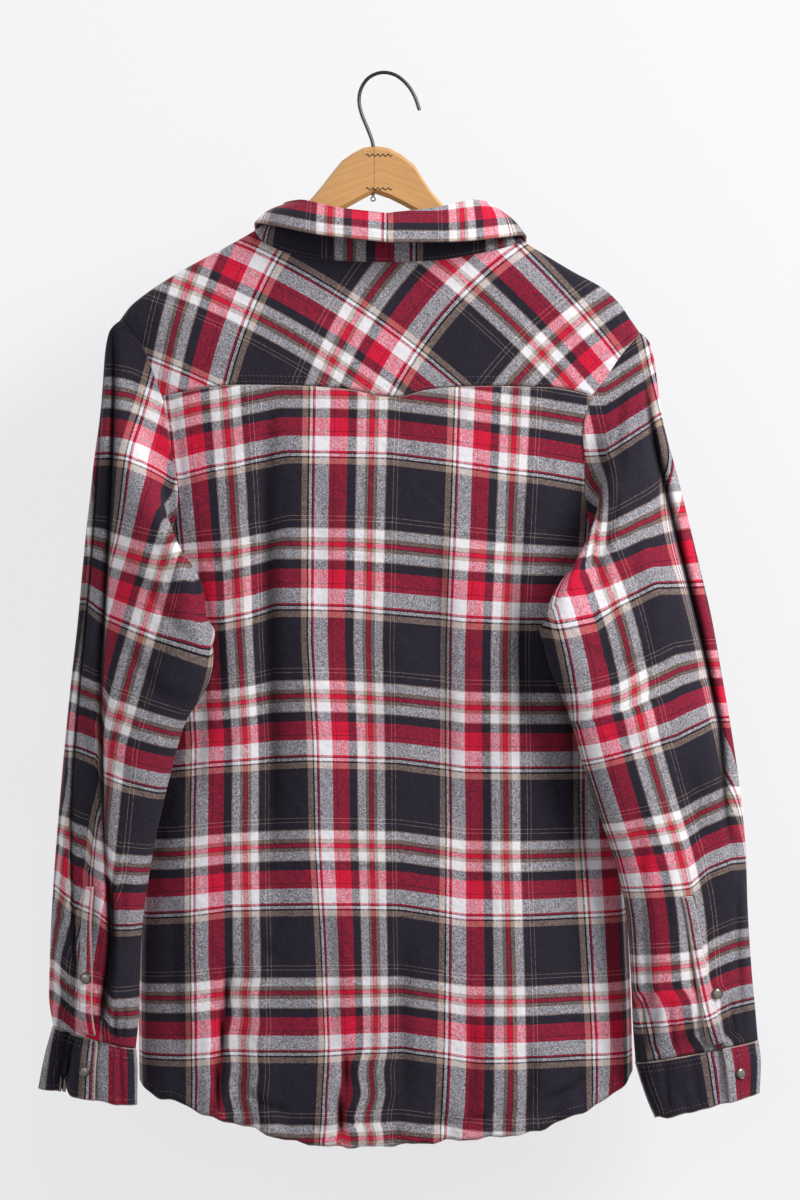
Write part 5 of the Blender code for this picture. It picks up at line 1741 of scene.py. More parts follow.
@dataclass
class CuffPiece(Piece):
    """One cuff: a doubled band whose ends lap on the back."""

    thickness: float = 2.4
    across: int = 3
    down: int = 4
    name: str = "left"
    columns: int = 30
    rows: int = 3
    lap: float = 0.40
    lap_lift: float = 3.8
    lap_start: float = 0.55
    lap_run: float = 0.5
    power: float = 2.3
    edge: float = 0.66
    snap_across: float = 0.55
    dent: tuple[float, float, float] = (0.27, 12, 0.12)
    slit: Pair = (0.25, 0.16)
    slit_depth: float = 7
    mark: float = 256.7
    repeat: float = 128
    notch: tuple[float, float, float] = (274, 15, 4.5)
    notch_reach: float = 26
    edge_reach: float = 22
    edge_depth: float = 0.9
    top_weft: float = 0.68
    weft_squeeze: float = 0.72
    slit_width: float = 0.045
    waves: float = 19
    wave: float = 0.7
    wrinkles: tuple[Wrinkle, ...] = ()

    def surface(self, down: float, turned: float) -> Vector:
        """A point of the cuff, by how far its band has turned from its upper lap's free edge."""
        turn = turn_at(self.edge) - turned
        base, axis, height, side = section(CUFFS[self.name], down, turn, self.power)
        dent_across, dent, dent_width = self.dent
        if side > 0:
            across = (1 - cos(turn)) / 2
            dent *= smooth_step(down / 0.5)
            height -= dent * exp(-((across - dent_across) / dent_width) ** 2)
            line = mix(self.slit[0], self.slit[1], down)
            height -= self.slit_depth * exp(-((across - line) / self.slit_width) ** 2)
            height += sin(across * self.waves + 2 * down) * self.wave
        under = smooth_step((turned - 2 * pi + self.lap_start) / self.lap_run)
        return base + axis * (height - under * self.lap_lift) * side

    def snap_seat(self) -> Seat:
        """Where the snap sits, and the direction that it faces."""
        turned = turn_at(self.edge) - turn_at(self.snap_across)
        normal = surface_normal(self.surface, 0.5, turned, (0, 1, 0))
        return self.surface(0.5, turned) + normal * self.thickness / 2, normal

    def build(self, finish: Flannel) -> Grid:
        """Builds the cuff and returns its net."""
        full = 2 * pi + self.lap
        grid = Grid.placed(self.columns * 2, self.rows * 2, lambda column, row: self.surface(
            row / self.rows / 2, full * column / self.columns / 2)).finer(self.across, self.down)
        side, middle = SIDES[self.name], grid.points.shape[1] // 2
        line, lengths = grid.points[:, middle], grid.lengths(0)[:, middle]
        front = np.nonzero(line[:, 1] < np.median(line[:, 1]))[0]
        laid = np.zeros(len(line))
        for columns in (slice(0, front[0]), slice(front[-1], None)):
            middle_at = (columns.start or 0) + len(line[columns]) // 2
            unit = (self.mark - line[middle_at, 0]) / self.repeat
            laid[columns] = unit - side * (lengths[columns] - lengths[middle_at]) / self.repeat
        wanted = laid[front[0] - 1] - side * (lengths[front[-1]] - lengths[front[0]]) / self.repeat
        laid[front[-1]:] += round(wanted - laid[front[-1]])
        inner = slice(front[0], front[-1])
        laid[inner] = np.interp(lengths[inner], (lengths[front[0] - 1], lengths[front[-1]]),
                                (laid[front[0] - 1], laid[front[-1]]))
        warp = np.repeat(laid[:, None], grid.points.shape[1], axis=1)
        weft = self.top_weft + grid.lengths(1) / REPEAT * self.weft_squeeze
        depth = wrinkle_push(grid.points, self.wrinkles)
        middle_y = np.median(grid.points[..., 1])
        depth[grid.points[..., 1] < middle_y] = 0
        grid.points[..., 1] -= depth
        ripple(grid, self.edge_reach, self.edge_depth)
        notch, height, width = self.notch
        gap = np.exp(-((grid.points[..., 0] - notch) / width) ** 2)
        gap *= (1 - edge_fade(grid, self.notch_reach, "bottom")) * (grid.points[..., 1] > middle_y)
        grid.points[..., 2] += height * gap
        rests_on = ["sleeve_" + self.name]
        return self.sew("cuff_" + self.name, finish, grid, [warp, weft], rests_on, depth)


@dataclass
class SleevePlacket(Piece):
    """The doubled strip at a sleeve's opening."""

    thickness: float = 2.4
    name: str = "left"
    along0: float = 0.80
    along1: float = 0.99
    half: float = 0.09
    snap_across: float = 0.43
    snap_along: float = 0.905
    lift: float = 2.7
    taper: float = 0.35
    slant: float = 0.0
    first_warp: float = 0.14

    def __post_init__(self) -> None:
        """Keeps the sleeve's own net."""
        self.form = SleeveForm(self.name)
        self.sleeve = self.form.net()

    def row_at(self, target: float) -> float:
        """The net's row at a part of the sleeve's length."""
        alongs = self.form.alongs
        low = bisect_right(alongs, target) - 1
        return low + (target - alongs[low]) / (alongs[low + 1] - alongs[low])

    def column_at(self, target: float) -> float:
        """The net's column at a part of the sleeve's width, at the snap."""
        row = round(self.row_at(self.snap_along))
        inn, out = (read(SLEEVES[self.name], key, self.snap_along)
                    for key in ("inn", "out"))
        aim = mix(out, inn, target)
        line = self.sleeve.points[:, row, 0]
        for column in range(len(line) // 2):
            here, after = line[column], line[column + 1]
            if min(here, after) <= aim <= max(here, after):
                return column + (aim - here) / (after - here)
        return len(line) / 4

    def raised(self, column: float, row: float, lift: float) -> Vector:
        """A point over the sleeve's net."""
        return self.sleeve.at(column, row) + self.normal(column, row) * lift

    def normal(self, column: float, row: float) -> Vector:
        """The net's outward normal."""
        return surface_normal(self.sleeve.at, column, row, (0, 1, 0), 0.5)

    def snap_seat(self) -> Seat:
        """Where the snap sits, and the direction that it faces."""
        column, row = self.column_at(self.snap_across), self.row_at(self.snap_along)
        return self.raised(column, row, self.lift + self.thickness / 2), self.normal(column, row)

    @staticmethod
    def between(start: float, end: float) -> list[float]:
        """Start, the whole numbers after it, and end."""
        inner = [whole for whole in range(floor(start) + 1, ceil(end))
                 if whole - start > 0.15 and end - whole > 0.15]
        return [start, *inner, end]

    def build(self, finish: Flannel) -> Grid:
        """Builds the strip and returns its net."""
        columns = self.between(self.column_at(self.snap_across - self.half),
                               self.column_at(self.snap_across + self.half))
        rows = self.between(self.row_at(self.along0), self.row_at(self.along1))
        centre, down = (columns[0] + columns[-1]) / 2, rows[-1] - rows[0]

        def place(column: int, row: int) -> Vector:
            """A point of the strip, which is narrower and slants away towards its top."""
            up = 1 - min(max((rows[row] - rows[0]) / down, 0.0), 1.0)
            beside = (columns[column] - centre) * (1 - self.taper * up) + self.slant * up
            return self.raised(centre + beside, rows[row], self.lift)

        grid = Grid.placed(len(columns) - 1, len(rows) - 1, place).finer(6, self.down)
        side = SIDES[self.name]
        warp = self.first_warp + side * grid.lengths(0) / REPEAT
        weft = weft_on_marks(grid, SLEEVE_WEFT[self.name])
        rests_on = ["sleeve_" + self.name]
        return self.sew("sleeve_placket_" + self.name, finish, grid, [warp, weft], rests_on)


# ---- trim

@dataclass(frozen=True)
class Satin:
    """A hard finish: a snap's pearl, its metal rim, or the hook's wire."""

    name: str
    colour: tuple[float, float, float]
    roughness: float
    metallic: float = 0.0
    coat: float = 0.0
    mottle: float = 0.15
    mottle_mm: float = 2.5

    def material(self) -> bpy.types.Material:
        """Builds the material."""
        tree = Tree(self.name)
        cloud = tree.noise(tree.place(), 1 / (self.mottle_mm * MM), 3.0)
        level = 1.0 - self.mottle / 2 + cloud * self.mottle
        colour = tree.shaded(self.colour, level)
        tree.set(Base_Color=colour, Roughness=self.roughness + (cloud - 0.5) * 0.12,
                 Metallic=self.metallic, Coat_Weight=self.coat)
        return tree.material


@dataclass(frozen=True)
class Beech:
    """Pale brown wood with a satin varnish; its grain runs along the hanger's arms."""

    name: str = "varnished_wood"
    light: tuple[float, float, float] = (0.70, 0.39, 0.145)
    dark: tuple[float, float, float] = (0.50, 0.25, 0.085)
    fleck: tuple[float, float, float] = (0.20, 0.095, 0.04)
    slope: float = 0.40
    figure_mm: float = 3.4
    pore_mm: float = 0.7
    cloud_mm: float = 45

    def material(self) -> bpy.types.Material:
        """Builds the material."""
        tree = Tree(self.name)
        x, y, z = tree.axes(tree.place())
        across = x.call("ABSOLUTE")
        height = z + across * self.slope
        figure = tree.noise(tree.vector(across * 0.06, y * 0.6, height),
                            1 / (self.figure_mm * MM), 4.0, 0.6)
        pores = tree.noise(tree.vector(across * 0.10, y, height),
                           1 / (self.pore_mm * MM), 2.0, 0.7)
        cloud = tree.noise(tree.place(), 1 / (self.cloud_mm * MM), 2.0)
        tone = (figure - 0.5) * 1.5 + (cloud - 0.5) * 0.5 + 0.42
        colour = tree.ramp(tone, [(0.0, self.light), (1.0, self.dark)])
        flecks = (pores - 0.60).call("MAXIMUM", 0.0) * 1.6
        colour = tree.blend(flecks, colour, self.fleck)
        tree.set(Base_Color=colour, Roughness=0.42 + figure * 0.12, Coat_Weight=0.12,
                 Coat_Roughness=0.3)
        tree.bump(figure + pores * 0.5, 0.25, 0.12 * MM)
        return tree.material


def add_mesh(bm: bmesh.types.BMesh, name: str, materials: Sequence[str]) -> bpy.types.Object:
    """A new object from a mesh, in the named finishes, riding on the body."""
    item = put_mesh(name, bm)
    for material in materials:
        item.data.materials.append(MATERIALS[material])
    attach(item, BODY)
    return item


def bridge(bm: bmesh.types.BMesh, rings: Sequence[Sequence[bmesh.types.BMVert]],
           smooth: bool = False) -> None:
    """Faces between rings of vertices, from each ring to the next."""
    for one, two in zip(rings, rings[1:]):
        for k, corner in enumerate(one):
            after = (k + 1) % len(one)
            bm.faces.new((corner, one[after], two[after], two[k])).smooth = smooth


@dataclass
class SnapCap:
    """A snap's domed pearl cap in its metal rim, turned about its own axis."""

    name: str
    radius: float = 5.0
    height: float = 2.2
    gap: float = 0.4
    crest: float = 0.62
    pearl: float = 0.795
    segments: int = 40
    profile: tuple[tuple[float, float], ...] = (
        (0.0, 0.62), (0.35, 0.60), (0.62, 0.52), (0.76, 0.42), (0.79, 0.34), (0.81, 0.52),
        (0.86, 0.60), (0.93, 0.52), (0.98, 0.32), (1.0, 0.10), (0.96, 0.0), (0.0, 0.0),
    )

    def build(self, seat: Vector, normal: Vector) -> bpy.types.Object:
        """Builds the cap on a seat of the cloth, facing along the normal."""
        bm = bmesh.new()
        turns = [2 * pi * step / self.segments for step in range(self.segments)]
        crown, *rims, base = [(out * self.radius * MM, up / self.crest * self.height * MM)
                              for out, up in self.profile]
        rings = [[bm.verts.new((out * cos(turn), out * sin(turn), up)) for turn in turns]
                 for out, up in rims]
        bridge(bm, rings)
        for (_, up), ring in ((crown, rings[0]), (base, rings[-1])):
            pole = bm.verts.new((0, 0, up))
            for corner, after in zip(ring, ring[1:] + ring[:1]):
                bm.faces.new((pole, corner, after))
        bmesh.ops.recalc_face_normals(bm, faces=bm.faces)
        split = self.pearl * self.radius * MM
        for face in bm.faces:
            centre = face.calc_center_median()
            face.material_index = 0 if hypot(centre.x, centre.y) < split and centre.z > 0 else 1
            face.smooth = True
        bmesh.ops.rotate(bm, verts=bm.verts, cent=(0, 0, 0),
                         matrix=normal.to_track_quat("Z", "Y").to_matrix())
        bmesh.ops.translate(bm, verts=bm.verts, vec=(seat + normal * self.gap) * MM)
        item = add_mesh(bm, "snap_cap_" + self.name, ("pearl", "snap_rim"))
        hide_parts("snap_" + self.name)
        return item


@dataclass
class Seam:
    """A row of stitches on a cloth's outer face."""

    name: str
    slot: str = "flannel_band"
    length: float = 2.3
    pitch: float = 3.4
    radius: float = 0.24
    sink: float = 0.10
    dip: float = 0.2
    sides: int = 4
    bar: tuple[tuple[float, float, float], ...] = (
        (-0.5, 0.35, 1.0), (-0.25, 1.0, 0.1), (0.25, 1.0, 0.1), (0.5, 0.35, 1.0))

    def build(self, lines: Sequence[Sequence[Seat]]) -> bpy.types.Object:
        """Builds the stitches along some lines of points and normals."""
        bm = bmesh.new()
        for line in lines:
            self.sew(bm, line)
        item = add_mesh(bm, self.name, ("thread",))
        return item

    def sew(self, bm: bmesh.types.BMesh, line: Sequence[Seat]) -> None:
        """Adds one row of stitches, each a short bar that dips at both ends."""
        points = [spot[0] for spot in line]
        runs = [0.0]
        for before, after in zip(points, points[1:]):
            runs.append(runs[-1] + (after - before).length)
        total, index = runs[-1], 0
        at = self.pitch / 2
        while at < total - self.pitch / 2:
            while index < len(runs) - 2 and runs[index + 1] < at:
                index += 1
            part = (at - runs[index]) / max(runs[index + 1] - runs[index], 1e-6)
            centre = mix(points[index], points[index + 1], part)
            along = (points[index + 1] - points[index]).normalized()
            normal = line[index][1]
            beside = normal.cross(along).normalized()
            rings = []
            for step, size, drop in self.bar:
                down = self.sink + drop * self.dip
                middle = centre + along * step * self.length - normal * down
                rings.append([bm.verts.new((middle + (beside * cos(turn) + normal
                                                      * sin(turn)) * self.radius * size) * MM)
                              for turn in (2 * pi * k / self.sides
                                           for k in range(self.sides))])
            bridge(bm, rings, True)
            at += self.pitch


def edge_spots(grid: Grid, axis: int, inset: float, end: bool = False, first: float = 0.0,
               last: float = 1.0) -> list[Pair]:
    """Spots of a net at an inset from one of its edges.

    Args:
        grid: the net.
        axis: 1 for the edges at its columns' ends and 0 for those at its rows' ends.
        inset: from the edge, in millimetres.
        end: whether the edge is the last one.
        first: the part of the edge to start at, and last: to end at.

    Returns:
        Columns and rows.
    """
    lengths = np.moveaxis(grid.lengths(axis), axis, -1)
    count = len(lengths) - 1
    spots = []
    for number in range(round(first * count), round(last * count) + 1):
        line = lengths[number]
        at = float(np.interp(line[-1] - inset if end else inset, line, np.arange(len(line))))
        spots.append((number, at) if axis else (at, number))
    return spots


@dataclass
class Stitching:
    """Every row of stitches of the shirt, on its pieces' nets, each kept with its thickness."""

    nets: dict[str, tuple[Grid, float]]

    CUFF = ((1, 4), (1, 8.5), (1, 5, True), (0, 4, False, 0.08, 0.92))
    STRIP = ((0, 2), (0, 2, True), (1, 2))
    SEWN = {
        "collar": ("collar", (1, 7, True, 0.012, 0.988)), "stand": ("stand", (1, 3)),
        "yoke": ("yoke", (1, 2.2, True), (1, 7.5, True, 0.34, 0.66)),
        "placket": ("front_placket", (0, 5), (0, 5, True)), "hem_back": ("back", (1, 7, True)),
        "hem_left": ("front_left", (1, 7, True)), "hem_right": ("front_right", (1, 7, True)),
        "cuff_left": ("cuff_left", *CUFF), "sleeve_placket_left": ("placket_left", *STRIP),
        "cuff_right": ("cuff_right", *CUFF), "sleeve_placket_right": ("placket_right", *STRIP),
    }

    @staticmethod
    def outwards(name: str, grid: Grid, normals: np.ndarray) -> int:
        """1 where a net's normals point out of the garment."""
        if name.startswith("front"):
            return 1 if normals[..., 1].mean() < 0 else -1
        if name == "back" or name.startswith("placket"):
            return 1 if normals[..., 1].mean() > 0 else -1
        outer = (grid.points - grid.points.mean(axis=(0, 1))) * normals
        return 1 if outer.sum(axis=2).mean() > 0 else -1

    def path(self, name: str, row: tuple) -> list[Seat]:
        """Points and normals of a row of stitches, on the outer face of its net."""
        grid, thickness = self.nets[name]
        normals = grid.normals()
        facing = self.outwards(name, grid, normals)
        line = []
        for column, at in edge_spots(grid, *row):
            near = normals[min(round(column), normals.shape[0] - 1),
                           min(round(at), normals.shape[1] - 1)]
            normal = Vector(near) * facing
            line.append((grid.at(column, at) + normal * (thickness / 2), normal))
        return line

    def build(self) -> None:
        """Sews every row."""
        for name, (net, *rows) in self.SEWN.items():
            Seam("stitches_" + name).build([self.path(net, row) for row in rows])


@dataclass
class Fasteners:
    """Corrugated steel strips driven across the joint of the hanger's two halves."""

    across: Pair = (13.0, -9.5)
    drops: Pair = (70.5, 99.5)
    wave: float = 0.9
    waves: int = 5
    proud: float = 0.35
    sunk: float = 0.3
    width: float = 0.45

    def build(self, face: float) -> None:
        """Builds them on the wood's face."""
        low, high = face - self.sunk, face + self.proud
        for number, drop in enumerate(self.drops):
            bm = bmesh.new()
            steps = self.waves * 8
            rows = []
            for index in range(steps + 1):
                part = index / steps
                across = mix(self.across[0], self.across[1], part)
                shift = self.wave * sin(2 * pi * self.waves * part)
                rows.append([bm.verts.new(Vector((across, depth, -drop + shift + half)) * MM)
                             for depth, half in ((low, -self.width), (high, -self.width),
                                                 (high, self.width), (low, self.width))])
            bridge(bm, rows)
            bm.faces.new(rows[0])
            bm.faces.new(rows[-1][::-1])
            bmesh.ops.recalc_face_normals(bm, faces=bm.faces)
            item = add_mesh(bm, "corrugated_fastener_%d" % (number + 1), ("wire",))


def redress(node: str, material: str) -> None:
    """Gives a CAD node a finish of the scene's own."""
    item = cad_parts[node]
    for slot in item.material_slots:
        slot.material = MATERIALS[material]


# ---- studio

@dataclass
class Studio:
    """Pale floor and wall, soft light mostly from above the wearer's right, and the camera."""

    aim: Vector = field(default_factory=lambda: Vector((-0.0163, 0.02, -0.455)))
    distance: float = 3.0
    frame_height: float = 1.032
    floor: float = -1.25
    wall: float = -0.11
    reach: float = 4.0
    top: float = 2.5
    paint: tuple[float, float, float] = (0.20, 0.202, 0.208)
    glow: float = 0.72
    world: float = 0.40
    key: float = 112.0
    fill: float = 16.0
    front: float = 67.2
    sensor: float = 36.0

    def surface(self, name: str, corners: Sequence[tuple[float, float, float]],
                one_sided: bool) -> None:
        """A flat part of the set."""
        mesh = bpy.data.meshes.new(name)
        mesh.from_pydata(corners, [], [tuple(range(len(corners)))])
        item = put(name, mesh)
        tree = Tree(name + "_paint")
        tree.set(Base_Color=colour4(self.paint), Roughness=0.9, Specular_IOR_Level=0.1)
        if one_sided:
            tree.set(Alpha=1.0 - tree.add("ShaderNodeNewGeometry", output="Backfacing"),
                     Emission_Color=(0.985, 0.99, 1.0, 1.0), Emission_Strength=self.glow)
            item.visible_shadow = False
        mesh.materials.append(tree.material)

    def lamp(self, name: str, at: Vector, size: float, energy: float, warmth: tuple) -> None:
        """A soft square light aimed at the shirt."""
        light = bpy.data.lights.new(name, "AREA")
        light.shape, light.size, light.energy, light.color = "SQUARE", size, energy, warmth
        item = put(name, light)
        item.location = at
        item.rotation_euler = (self.aim - at).to_track_quat("-Z", "Y").to_euler()

    def build(self) -> None:
        """Builds the set, the lights and the camera."""
        reach, low, high, far = self.reach, self.floor, self.top, self.wall
        self.surface("studio_floor", [(-reach, -reach, low), (reach, -reach, low),
                                      (reach, reach, low), (-reach, reach, low)], False)
        self.surface("studio_wall", [(reach, far, low), (-reach, far, low), (-reach, far, high),
                                     (reach, far, high)], True)
        self.lamp("key_light", Vector((-2.3, 1.7, 1.2)), 1.5, self.key, (1.0, 0.99, 0.975))
        self.lamp("fill_light", Vector((1.8, 2.6, 0.2)), 2.2, self.fill, (0.96, 0.98, 1.0))
        self.lamp("front_light", Vector((1.2, -2.6, 0.6)), 2.0, self.front, (1.0, 0.99, 0.97))
        world = bpy.data.worlds.new("studio")
        world.use_nodes = True
        colour, strength = world.node_tree.nodes["Background"].inputs[:2]
        colour.default_value, strength.default_value = (1.0, 1.0, 1.0, 1.0), self.world
        bpy.context.scene.world = world
        bpy.context.scene.view_settings.view_transform = "Standard"

        lens = bpy.data.cameras.new("camera")
        lens.sensor_width = self.sensor
        lens.lens = self.sensor * self.distance / self.frame_height
        lens.clip_end = 30.0
        camera = put("camera", lens)
        camera.location = self.aim + Vector((0, self.distance, 0))
        camera.rotation_euler = (radians(90), 0, radians(180))
        bpy.context.scene.camera = camera


# ---- the whole

MATERIALS: dict[str, bpy.types.Material] = {}

BODY_CLOTH = Flannel("plaid_flannel", "flannel", worn=0.5, worn_mm=1.3)
SLEEVE_CLOTH = Flannel("plaid_flannel_sleeve", "flannel", worn=0.05)
BAND_CLOTH = Flannel("plaid_flannel_band", "flannel_band", worn=0.12)
WORN_CLOTH = Flannel("plaid_flannel_worn", "flannel_band", worn=0.8, worn_mm=1.3)

BACK_WRINKLES = lines_of(Wrinkle,
    (4.2, 6.5, 270, 400, 267, 520, 272, 640, 275, 760, 274, 880),
    (-2.2, 6, 258, 400, 254, 480, 260, 570), (3.4, 6, 441, 520, 446, 680, 447, 820),
    (7.5, 2.8, 230, 960, 222, 1040, 216, 1125), (-3.0, 5, 214, 1000, 210, 1060, 204, 1125),
    (6.5, 2.6, 350, 1035, 345, 1080, 338, 1140), (-2.4, 5, 362, 1045, 358, 1088, 352, 1140),
    (3.0, 2.5, 250, 1085, 262, 1100, 290, 1106), (2.5, 2.4, 300, 1118, 330, 1124, 352, 1122),
    (2.5, 2.4, 420, 1116, 460, 1117, 500, 1108), (3.0, 2.4, 540, 1098, 565, 1088, 588, 1072),
    (1.3, 4, 262, 850, 285, 905), (1.3, 4, 285, 905, 266, 955), (1.0, 4, 250, 930, 290, 965),
    (-0.8, 4, 300, 860, 292, 940), (2.6, 7, 195, 640, 205, 720, 200, 800),
    (2.8, 8, 520, 480, 515, 600, 530, 740), (3.0, 7, 560, 640, 575, 760, 590, 880),
    (2.6, 7, 330, 900, 338, 980, 336, 1060), (2.8, 6, 410, 930, 404, 1000, 409, 1110),
    (3.2, 5, 470, 1000, 475, 1060, 470, 1125), (-1.5, 5, 495, 1085, 492, 1122),
    (3.4, 5, 530, 1040, 533, 1080, 527, 1118), (2.4, 7, 180, 900, 178, 980, 186, 1070),
    (1.6, 4, 345, 1090, 342, 1130), (1.8, 4, 440, 1090, 444, 1128),
    (2.0, 7, 190, 555, 214, 640, 220, 710), (3.6, 4, 603, 392, 606, 440, 601, 505),
    (-1.6, 4, 592, 395, 594, 500), (1.4, 5, 172, 400, 180, 450, 182, 520),
    (0.9, 4, 204, 393, 207, 428), (0.8, 4, 243, 390, 240, 424), (0.8, 4, 306, 388, 309, 420),
    (0.9, 5, 352, 388, 350, 430), (1.1, 5, 402, 392, 405, 440), (0.8, 4, 462, 388, 458, 425),
    (1.0, 5, 512, 388, 515, 430), (0.8, 4, 556, 388, 553, 420),
    (0.9, 8, 330, 470, 322, 560, 328, 640), (1.1, 8, 480, 700, 486, 800, 478, 900),
    (0.9, 9, 375, 600, 382, 720, 376, 820), (1.0, 7, 235, 700, 228, 790))
FRONT_WRINKLES = {
    "left": lines_of(Wrinkle,
        (1.9, 8, 300, 380, 285, 520, 280, 700), (2.0, 7, 210, 470, 240, 560, 250, 660),
        (2.0, 8, 230, 800, 222, 930, 228, 1060), (1.6, 7, 330, 820, 322, 960, 330, 1090),
        (1.6, 8, 180, 820, 172, 930, 180, 1040), (-1.4, 7, 290, 900, 300, 1010, 292, 1100),
        (1.3, 6, 250, 330, 275, 400), (1.2, 7, 340, 560, 333, 700)),
    "right": lines_of(Wrinkle,
        (1.8, 8, 470, 400, 485, 540, 480, 700), (2.1, 7, 560, 470, 530, 560, 520, 680),
        (2.0, 8, 545, 800, 552, 930, 540, 1060), (1.5, 7, 440, 840, 450, 980, 443, 1100),
        (1.6, 8, 590, 860, 598, 960, 585, 1060), (-1.3, 7, 490, 930, 482, 1020, 492, 1100),
        (1.3, 6, 520, 330, 495, 410), (1.1, 7, 430, 600, 436, 720)),
}
CUFF_WRINKLES = {
    "left": lines_of(Wrinkle,
        (9.0, 3.2, 77, 1030, 68, 1068, 44, 1135), (2.2, 3, 98, 1035, 95, 1112),
        (2.4, 3, 121, 1035, 124, 1112), (2.0, 3, 60, 1035, 51, 1085),
        (-1.4, 3, 86, 1050, 84, 1110)),
    "right": lines_of(Wrinkle,
        (2.6, 3.5, 641, 1050, 650, 1112), (1.8, 3, 662, 1055, 668, 1110),
        (1.6, 3.5, 690, 1050, 700, 1110), (2.0, 2.5, 716, 1040, 722, 1100)),
}
LEFT_TUCK = (
    108, 300, 101, 396, 97, 487, 90, 578, 82, 669, 78, 725, 75, 770, 73, 816, 73, 860, 75, 907, 78,
    960, 76, 1020)
LEFT_FOLD = (
    112, 520, 108, 578, 104, 669, 104, 725, 105, 770, 107, 816, 113, 907, 114, 935, 112, 965, 103,
    1020)
SLEEVE_TUCKS = {"left": (Tuck(LEFT_TUCK, 46), Tuck(LEFT_FOLD, 40, opening=215)), "right": ()}
SLEEVE_WRINKLES = {
    "left": lines_of(Wrinkle,
        (8.0, 3.0, 112, 300, 113, 396, 113, 487, 108, 578, 104, 669, 104, 725, 105, 770,
         107, 816, 113, 907),
        (12.0, 4.0, 113, 870, 114, 935, 112, 965, 103, 1020), (6.0, 1.9, *LEFT_TUCK),
        (2.0, 4, 95, 850, 97, 945), (1.8, 4, 128, 860, 126, 950),
        (1.8, 6, 128, 560, 160, 600, 205, 650), (1.6, 6, 125, 640, 165, 690, 200, 700),
        (1.4, 5, 118, 760, 150, 790), (1.0, 5, 140, 415, 165, 470, 176, 520),
        (1.4, 5, 130, 375, 150, 430), (1.4, 5, 90, 690, 92, 760),
        (1.2, 6, 150, 520, 175, 570, 185, 620), (-1.0, 5, 135, 700, 150, 735, 170, 745),
        (2.2, 3, 65, 980, 62, 1024), (2.2, 3, 128, 995, 124, 1042), (1.8, 3, 98, 1010, 96, 1044),
        (2.8, 2.4, 72, 975, 68, 1034), (2.6, 2.2, 92, 985, 88, 1042),
        (3.0, 2.2, 106, 1003, 100, 1048), (2.8, 2.2, 119, 1000, 116, 1048),
        (1.5, 5, 84, 560, 82, 640)),
    "right": lines_of(Wrinkle,
        (8.5, 3.6, 645, 350, 650, 415, 655, 449, 665, 489, 678, 544, 688, 584, 708, 671,
         719, 723, 726, 826, 738, 863),
        (3.0, 4, 616, 495, 604, 546, 596, 592), (3.2, 4.5, 640, 890, 645, 970, 651, 1045),
        (2.8, 4, 735, 880, 738, 960, 742, 1030), (1.6, 6, 628, 540, 645, 610, 650, 680),
        (1.6, 6, 570, 640, 610, 660, 650, 655), (1.5, 6, 600, 720, 640, 745, 680, 735),
        (2.0, 5, 625, 380, 618, 440, 622, 490), (1.2, 5, 640, 400, 634, 460),
        (2.2, 3, 655, 1000, 650, 1058), (2.2, 3, 675, 995, 686, 1055),
        (2.0, 3, 692, 1010, 704, 1048), (3.0, 2.4, 640, 985, 644, 1064),
        (3.2, 2.4, 666, 995, 675, 1060), (2.6, 2.2, 682, 1000, 693, 1058),
        (2.8, 2.2, 704, 1000, 714, 1052), (2.4, 2.4, 728, 990, 733, 1046),
        (1.6, 5, 630, 800, 640, 860, 636, 900), (1.4, 6, 690, 760, 700, 840),
        (1.2, 5, 660, 860, 666, 930)),
}


CUFF_FORMS = {
    "left": {"name": "left"},
    "right": {"name": "right", "edge": 0.34, "snap_across": 0.22, "dent": (0.62, 3, 0.14),
              "slit": (0.80, 0.74), "slit_depth": 1.6, "mark": -277.8, "notch": (-238, 2.5, 5)},
}
PLACKET_FORMS = {
    "left": {"name": "left"},
    "right": {"name": "right", "along0": 0.82, "half": 0.075, "snap_across": 0.32,
              "snap_along": 0.925, "slant": 1.0},
}
SNAP_DROPS = (278, 366, 454, 542, 630, 718, 806)


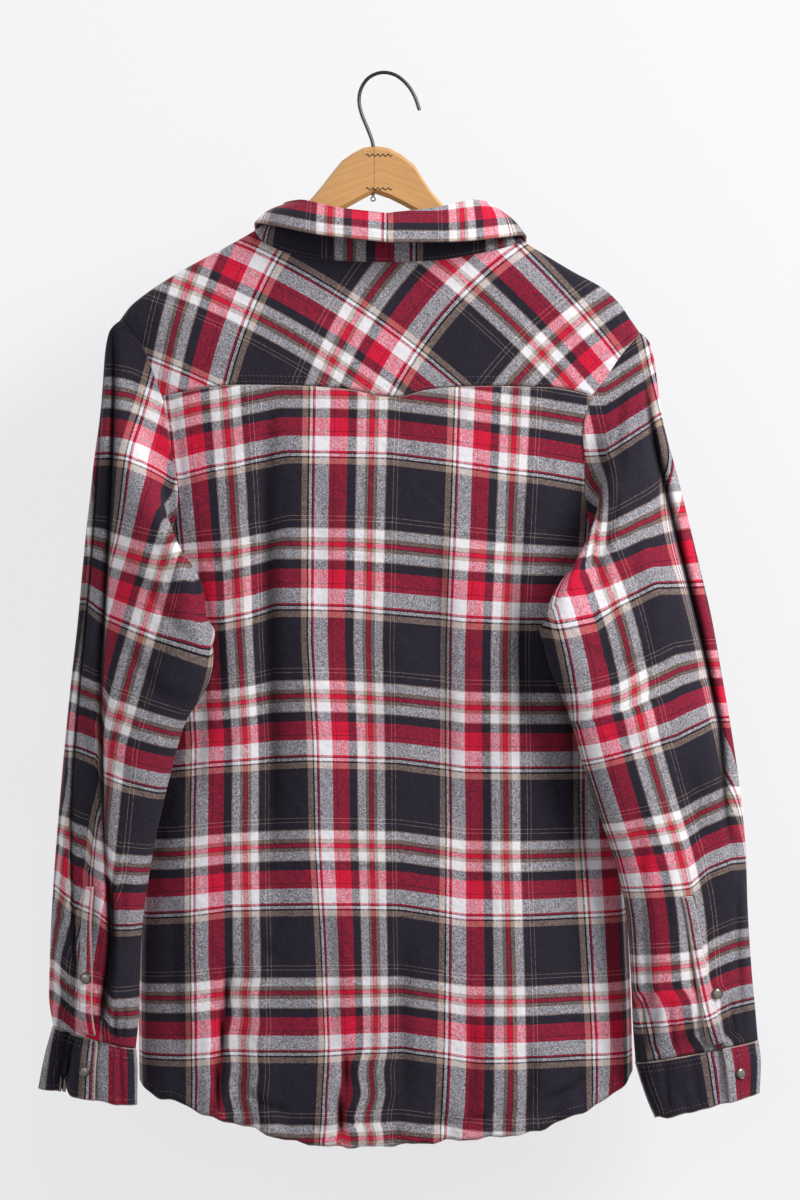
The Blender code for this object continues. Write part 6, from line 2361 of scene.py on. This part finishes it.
def finishes() -> None:
    """Builds every finish."""
    made = (
        BODY_CLOTH, SLEEVE_CLOTH, BAND_CLOTH, WORN_CLOTH, Beech(),
        Satin("pearl", (0.30, 0.275, 0.235), 0.26, metallic=0.55, coat=0.5, mottle=0.7,
              mottle_mm=1.6),
        Satin("snap_rim", (0.16, 0.145, 0.125), 0.34, metallic=0.9),
        Satin("wire", (0.060, 0.055, 0.055), 0.42, metallic=0.85, mottle=0.5, mottle_mm=3.0),
        Satin("thread", (0.30, 0.235, 0.20), 0.85, mottle=0.4, mottle_mm=1.0),
    )
    for finish in made:
        MATERIALS[finish.name] = finish.material()


def sew_shirt() -> None:
    """Builds every piece of the shirt, its snaps and its stitches."""
    nets: dict[str, tuple[Grid, float]] = {}

    def keep(name: str, piece: Piece, finish: Flannel) -> Piece:
        """Builds a piece, keeps its net and returns it."""
        nets[name] = (piece.build(finish), piece.thickness)
        return piece

    keep("yoke", Yoke(), BAND_CLOTH)
    keep("back", Back(wrinkles=BACK_WRINKLES), BODY_CLOTH)
    for side in SIDES:
        keep("front_" + side, Front(name=side, wrinkles=FRONT_WRINKLES[side]), BODY_CLOTH)
    placket = keep("front_placket", FrontPlacket(), BAND_CLOTH)
    collar = Collar()
    for name, net in zip(("stand", "collar"), collar.build(BAND_CLOTH)):
        nets[name] = (net, collar.thickness)
    for side in SIDES:
        sleeve = SleevePiece(name=side, wrinkles=SLEEVE_WRINKLES[side], tucks=SLEEVE_TUCKS[side])
        keep("sleeve_" + side, sleeve, SLEEVE_CLOTH)
        cuff = keep("cuff_" + side, CuffPiece(wrinkles=CUFF_WRINKLES[side], **CUFF_FORMS[side]),
                    WORN_CLOTH)
        strip = keep("placket_" + side, SleevePlacket(**PLACKET_FORMS[side]), WORN_CLOTH)
        SnapCap("cuff_" + side).build(*cuff.snap_seat())
        SnapCap("sleeve_" + side).build(*strip.snap_seat())
    for index, drop in enumerate(SNAP_DROPS):
        SnapCap(f"front_{index + 1}").build(*placket.snap_seat(drop))
    SnapCap("collar").build(*collar.snap_seat())
    Stitching(nets).build()


def main() -> None:
    """Builds everything in order."""
    logging.basicConfig(level=logging.INFO, format="%(message)s")
    finishes()
    LOG.info("finishes ready")
    sew_shirt()
    LOG.info("shirt sewn")
    for node in ("hanger_wood_left", "hanger_wood_right"):
        redress(node, "varnished_wood")
    for node in ("hanger_hook", "hanger_hook_eye"):
        redress(node, "wire")
    Fasteners().build(4.5)
    Studio().build()


if __name__ == "__main__":
    main()
